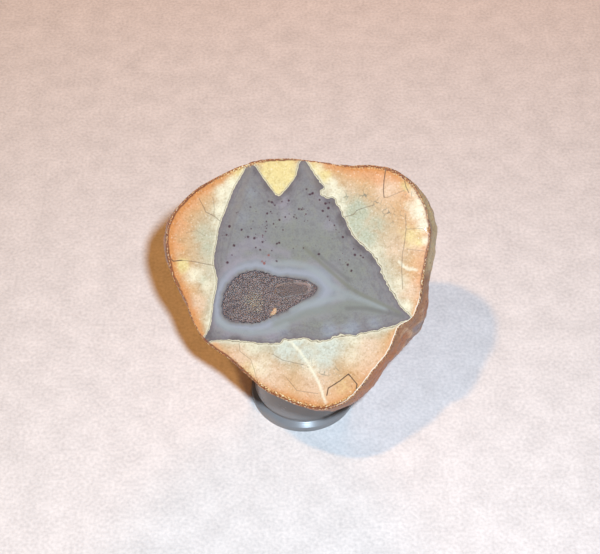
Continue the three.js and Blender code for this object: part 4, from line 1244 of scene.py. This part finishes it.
def crust_height(points):
    """Height of the sheet of quartz in the hollow, in millimetres over the face: a dish with the finger on
    it. Also each point's share of the way to the hollow's rim, and its signed distance to the finger."""
    away = points - HOLLOW_MIDDLE
    degrees = np.degrees(np.arctan2(away[:, 1], away[:, 0]))
    share = np.hypot(away[:, 0], away[:, 1]) / reach_round(HOLLOW_REACH, degrees)
    dish = -0.55 - 1.9 * (1 - np.clip(share, 0, 1) ** 5) * (1 - 0.25 * share)
    lumps = 0.22 * layered_noise(np.column_stack([points, np.zeros(len(points))]), 1.9, 5)
    finger = signed_distance(rounded(FINGER, rounds=2), points)
    return dish + lumps + 1.15 * smoothstep(finger, -0.35, 0.5), share, finger


class THUNDER_EGG_OT_crystals(bpy.types.Operator):
    """Grow the drusy quartz in the hollow"""

    bl_idname = "thunder_egg.grow_crystals"
    bl_label = "Grow Crystals"

    def execute(self, context):
        # The sheet, a little inside the hollow's wall.
        sizes = context.scene.crystal_sizes
        outline = hollow_ring(HOLLOW_SIDES, 0.12)
        flat, sheet = triangulated([outline], [], np.zeros((0, 2)), SHEET_STEP,
                                   lambda spots: inside(outline, spots))
        top, _, _ = crust_height(flat)
        shift = len(flat)
        points = [np.column_stack([flat, top]), np.column_stack([flat, top - sizes.sheet / MM])]
        faces = sheet.tolist() + (sheet[:, ::-1] + shift).tolist()
        sides = [side for a, b, c in sheet.tolist() for side in ((a, b), (b, c), (c, a))]
        shared = set(sides)
        faces += [(b, a, a + shift, b + shift) for a, b in sides if (b, a) not in shared]
        total = 2 * shift
        tips, tones, chips = [np.zeros(total)], [np.full(total, 0.5)], [np.zeros(total)]

        # Where crystals stand: a jittered grid over the hollow. Their tints run in rays from its middle.
        random = np.random.RandomState(7)
        step = sizes.spacing / MM
        row, column = (side.ravel() for side in np.mgrid[-42:43, -52:53])
        draws = random.rand(len(row), 7)
        spots = np.column_stack([
            HOLLOW_MIDDLE[0] + (column + (row % 2) / 2 + 0.7 * (draws[:, 0] - 0.5)) * step,
            HOLLOW_MIDDLE[1] + (row + 0.7 * (draws[:, 1] - 0.5)) * step * math.sin(math.pi / 3)])
        height, share, finger = crust_height(spots)
        away = spots - HOLLOW_MIDDLE
        turn = np.arctan2(away[:, 1], away[:, 0])
        rays = np.column_stack([9 * np.cos(turn), 9 * np.sin(turn), 0.15 * np.hypot(away[:, 0], away[:, 1])])
        tints = np.clip(0.5 + 0.9 * layered_noise(rays, 1.0, 61, 2) + 0.4 * (draws[:, 4] - 0.5), 0, 1.1)
        room = signed_distance(outline, spots)
        kept = (room > 0.18) & (np.abs(finger) > 0.25) & ~inside(np.array(PEACH_CHIP), spots)
        for k in np.flatnonzero(kept):
            size, twist, _, across, up = draws[k, 2:]
            inward = np.array(HOLLOW_MIDDLE) - spots[k]
            inward = inward / max(np.linalg.norm(inward), 1e-6)
            lean = 1.2 * share[k] ** 3
            axis = (inward[0] * lean + 0.25 * (across - 0.5), inward[1] * lean + 0.25 * (up - 0.5), 1.0)
            if finger[k] > 0:
                length, half_width = 0.3 + 0.2 * size, 0.2 + 0.12 * size
            else:
                length = sizes.longest / MM * (0.6 + 0.4 * size) * (0.7 + 0.3 * share[k])
                half_width = sizes.widest / MM * (0.75 + 0.25 * size)
            length = min(length, (-BELOW_FACE - height[k]) * math.sqrt(1 + lean * lean))
            if length < SHORTEST_CRYSTAL:
                continue
            made, shape = crystal((*spots[k], height[k]), axis, min(half_width, length * 0.55), length,
                                  twist * 6, (across - 0.5, up - 0.5))
            points.append(np.array(made))
            faces += [tuple(total + n for n in face) for face in shape]
            tips.append(np.array([0.0] * 6 + [0.65] * 6 + [1.0]))
            tones.append(np.full(len(made), tints[k]))
            chips.append(np.zeros(len(made)))
            total += len(made)

        # The peach chip lies on the crystals near the lower wall: its underside, its edge and its top.
        rim = rounded(PEACH_CHIP, rounds=1)
        middle = rim.mean(axis=0)
        count = len(rim)
        tilt = 0.12 * (rim[:, 0] - middle[0])
        points += [np.column_stack([rim, np.full(count, -2.2)]), np.column_stack([rim, -0.75 + tilt]),
                   np.column_stack([middle + (rim - middle) * 0.45, -0.4 + tilt * 0.5])]
        faces.append(tuple(total + k for k in reversed(range(count))))
        faces.append(tuple(total + 2 * count + k for k in range(count)))
        for low, high in ((0, count), (count, 2 * count)):
            faces += (band_faces(low, high, count)[:, ::-1] + total).tolist()
        tips.append(np.full(3 * count, 0.6))
        tones.append(np.full(3 * count, 0.6))
        chips.append(np.ones(3 * count))

        mesh = bpy.data.meshes.new("drusy_crust")
        mesh.from_pydata(to_world(np.vstack(points)).tolist(), [], faces)
        flags = np.zeros(len(faces), bool)
        flags[:2 * len(sheet)] = True
        mesh.polygons.foreach_set("use_smooth", flags)
        mesh.update()
        place = local_points(mesh)[:, :2]
        _, _, finger = crust_height(place)
        bright = np.random.RandomState(3).rand(len(place))
        tip = np.concatenate(tips)
        add_fields(mesh, {
            "tip": tip,
            "tone": np.concatenate(tones),
            "chip": np.concatenate(chips),
            "edge": distance_to(outline, place, True),
            "finger": finger,
            "finger_line": np.abs(finger),
            "warm": patch_field(WARM_POINTS, place) * tip * (0.4 + 0.8 * bright),
        })
        show_piece("drusy_crust", mesh, [quartz_material(context.scene)], "quartz", "crystal_crust")
        return {"FINISHED"}


# ---------- the stand ----------

def eased(rows, steps=5):
    """A closed section of (across, up, cut) rows, with each corner rounded by its own cut."""
    corners = np.array(rows, float)[:, :2]
    made = []
    for k, corner in enumerate(corners):
        before, after = corners[k - 1], corners[(k + 1) % len(corners)]
        cut = rows[k][2]
        a = corner + (before - corner) / np.linalg.norm(before - corner) * cut
        b = corner + (after - corner) / np.linalg.norm(after - corner) * cut
        for t in np.linspace(0, 1, steps):
            made.append((1 - t) ** 2 * a + 2 * t * (1 - t) * corner + t * t * b)
    return np.array(made)


class THUNDER_EGG_OT_stand(bpy.types.Operator):
    """Turn the ring stand"""

    bl_idname = "thunder_egg.turn_stand"
    bl_label = "Turn Stand"

    def execute(self, context):
        sizes = context.scene.stand_sizes
        low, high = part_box("ring_stand")
        foot = (high.x - low.x) / 2 / MM
        height = high.z / MM
        body = foot - FLANGE_STEP
        waist = foot - WAIST_STEP
        bore = body - sizes.wall / MM
        groove = body - sizes.groove / MM
        foot_top = sizes.foot / MM
        slope = (foot - groove) * math.tan(FLANGE_SLOPE)
        section = eased([
            (bore, 0, 0.3),
            (foot, 0, 0.25),
            (foot, foot_top - slope, 0.5),
            (groove, foot_top, 0.1),
            (groove, foot_top + GROOVE_HEIGHT, 0.15),
            (waist, foot_top + WAIST_HEIGHT, 0.2),
            (body, height, 0.6),
            (bore, height, 0.6)])
        count = 144
        turn = np.arange(count) * 2 * math.pi / count
        middle = stand_axis()
        rings = []
        for across, up in section * MM:
            rings.append(np.column_stack([
                across * np.cos(turn) + middle.x, across * np.sin(turn) + middle.y, np.full(count, up)]))
        faces = []
        for k in range(len(rings)):
            faces += band_faces(k * count, ((k + 1) % len(rings)) * count, count).tolist()
        mesh = new_mesh("turned_ring_stand", np.vstack(rings), faces)
        mesh.shade_smooth()
        mesh.set_sharp_from_angle(angle=math.radians(50))
        show_piece("turned_ring_stand", mesh, [stand_material(context.scene)], "grey_plastic", "ring_stand")
        return {"FINISHED"}


# ---------- the studio ----------

class THUNDER_EGG_OT_studio(bpy.types.Operator):
    """Lay the floor and place the lights and the camera"""

    bl_idname = "thunder_egg.set_studio"
    bl_label = "Set Studio"

    def execute(self, context):
        scene = context.scene
        studio = scene.studio
        corners = [(x * FLOOR_REACH, y * FLOOR_REACH, 0) for x, y in ((-1, -1), (1, -1), (1, 1), (-1, 1))]
        mesh = bpy.data.meshes.new("floor")
        mesh.from_pydata(corners, [], [(0, 1, 2, 3)])
        mesh.materials.append(card_material(studio))
        floor = bpy.data.objects.new("floor", mesh)
        scene.collection.objects.link(floor)

        # The camera looks a touch up and left of the face's middle.
        sight = Vector((0, -math.cos(studio.height), math.sin(studio.height)))
        upward = Vector((0, math.sin(studio.height), math.cos(studio.height)))
        right = Vector((1, 0, 0))
        eye = MIDDLE + sight * studio.distance
        aim = MIDDLE + (upward - right) * 0.92 * MM
        camera_data = bpy.data.cameras.new("camera")
        camera_data.lens = studio.lens
        camera_data.sensor_width = 36
        camera_data.clip_start = 0.01
        camera = bpy.data.objects.new("camera", camera_data)
        camera.location = eye
        camera.rotation_euler = (aim - eye).to_track_quat("-Z", "Y").to_euler()
        scene.collection.objects.link(camera)
        scene.camera = camera

        # Each light: name, where it is, where it points, power, tint, width.
        beside_camera = eye + (right * 42 + upward * 40) * MM
        lights = (
            ("near_light", beside_camera, MIDDLE, studio.near_power, studio.near_light, 24 * MM),
            ("side_light", MIDDLE + SIDE_LIGHT, MIDDLE, studio.side_power, studio.side_light, 46 * MM),
            ("back_light", BACK_LIGHT, BACK_LIGHT_AIM, studio.back_power, studio.back_light, 200 * MM),
        )
        for name, where, target, power, tint, width in lights:
            data = bpy.data.lights.new(name, "AREA")
            data.shape = "DISK"
            data.size = width
            data.energy = power
            data.color = tint[:3]
            lamp = bpy.data.objects.new(name, data)
            lamp.location = where
            lamp.rotation_euler = (target - where).to_track_quat("-Z", "Y").to_euler()
            scene.collection.objects.link(lamp)

        world = bpy.data.worlds.new("room")
        world.use_nodes = True
        room = world.node_tree.nodes["Background"]
        room.inputs["Color"].default_value = studio.surround_tint
        room.inputs["Strength"].default_value = studio.surround
        scene.world = world
        scene.view_settings.view_transform = "Standard"
        return {"FINISHED"}


class THUNDER_EGG_PT_panel(bpy.types.Panel):
    """Sizes, colours and the steps that build the piece"""

    bl_label = "Thunder Egg"
    bl_idname = "THUNDER_EGG_PT_panel"
    bl_space_type = "VIEW_3D"
    bl_region_type = "UI"
    bl_category = "Thunder Egg"

    def draw(self, context):
        for operator in OPERATORS:
            self.layout.operator(operator.bl_idname)
        for name in SETTINGS:
            group = getattr(context.scene, name)
            box = self.layout.box()
            box.label(text=name.replace("_", " ").capitalize())
            for key in group.bl_rna.properties.keys():
                if key not in ("rna_type", "name"):
                    box.prop(group, key)


OPERATORS = (THUNDER_EGG_OT_studio, THUNDER_EGG_OT_stone, THUNDER_EGG_OT_crystals, THUNDER_EGG_OT_stand)


def register():
    for group in SETTINGS.values():
        bpy.utils.register_class(group)
    for operator in OPERATORS:
        bpy.utils.register_class(operator)
    bpy.utils.register_class(THUNDER_EGG_PT_panel)
    for name, group in SETTINGS.items():
        setattr(bpy.types.Scene, name, PointerProperty(type=group))


def unregister():
    for name in SETTINGS:
        delattr(bpy.types.Scene, name)
    bpy.utils.unregister_class(THUNDER_EGG_PT_panel)
    for operator in reversed(OPERATORS):
        bpy.utils.unregister_class(operator)
    for group in reversed(SETTINGS.values()):
        bpy.utils.unregister_class(group)


def main():
    register()
    bpy.ops.thunder_egg.set_studio()
    bpy.ops.thunder_egg.build_stone()
    bpy.ops.thunder_egg.grow_crystals()
    bpy.ops.thunder_egg.turn_stand()


if __name__ == "__main__":
    main()
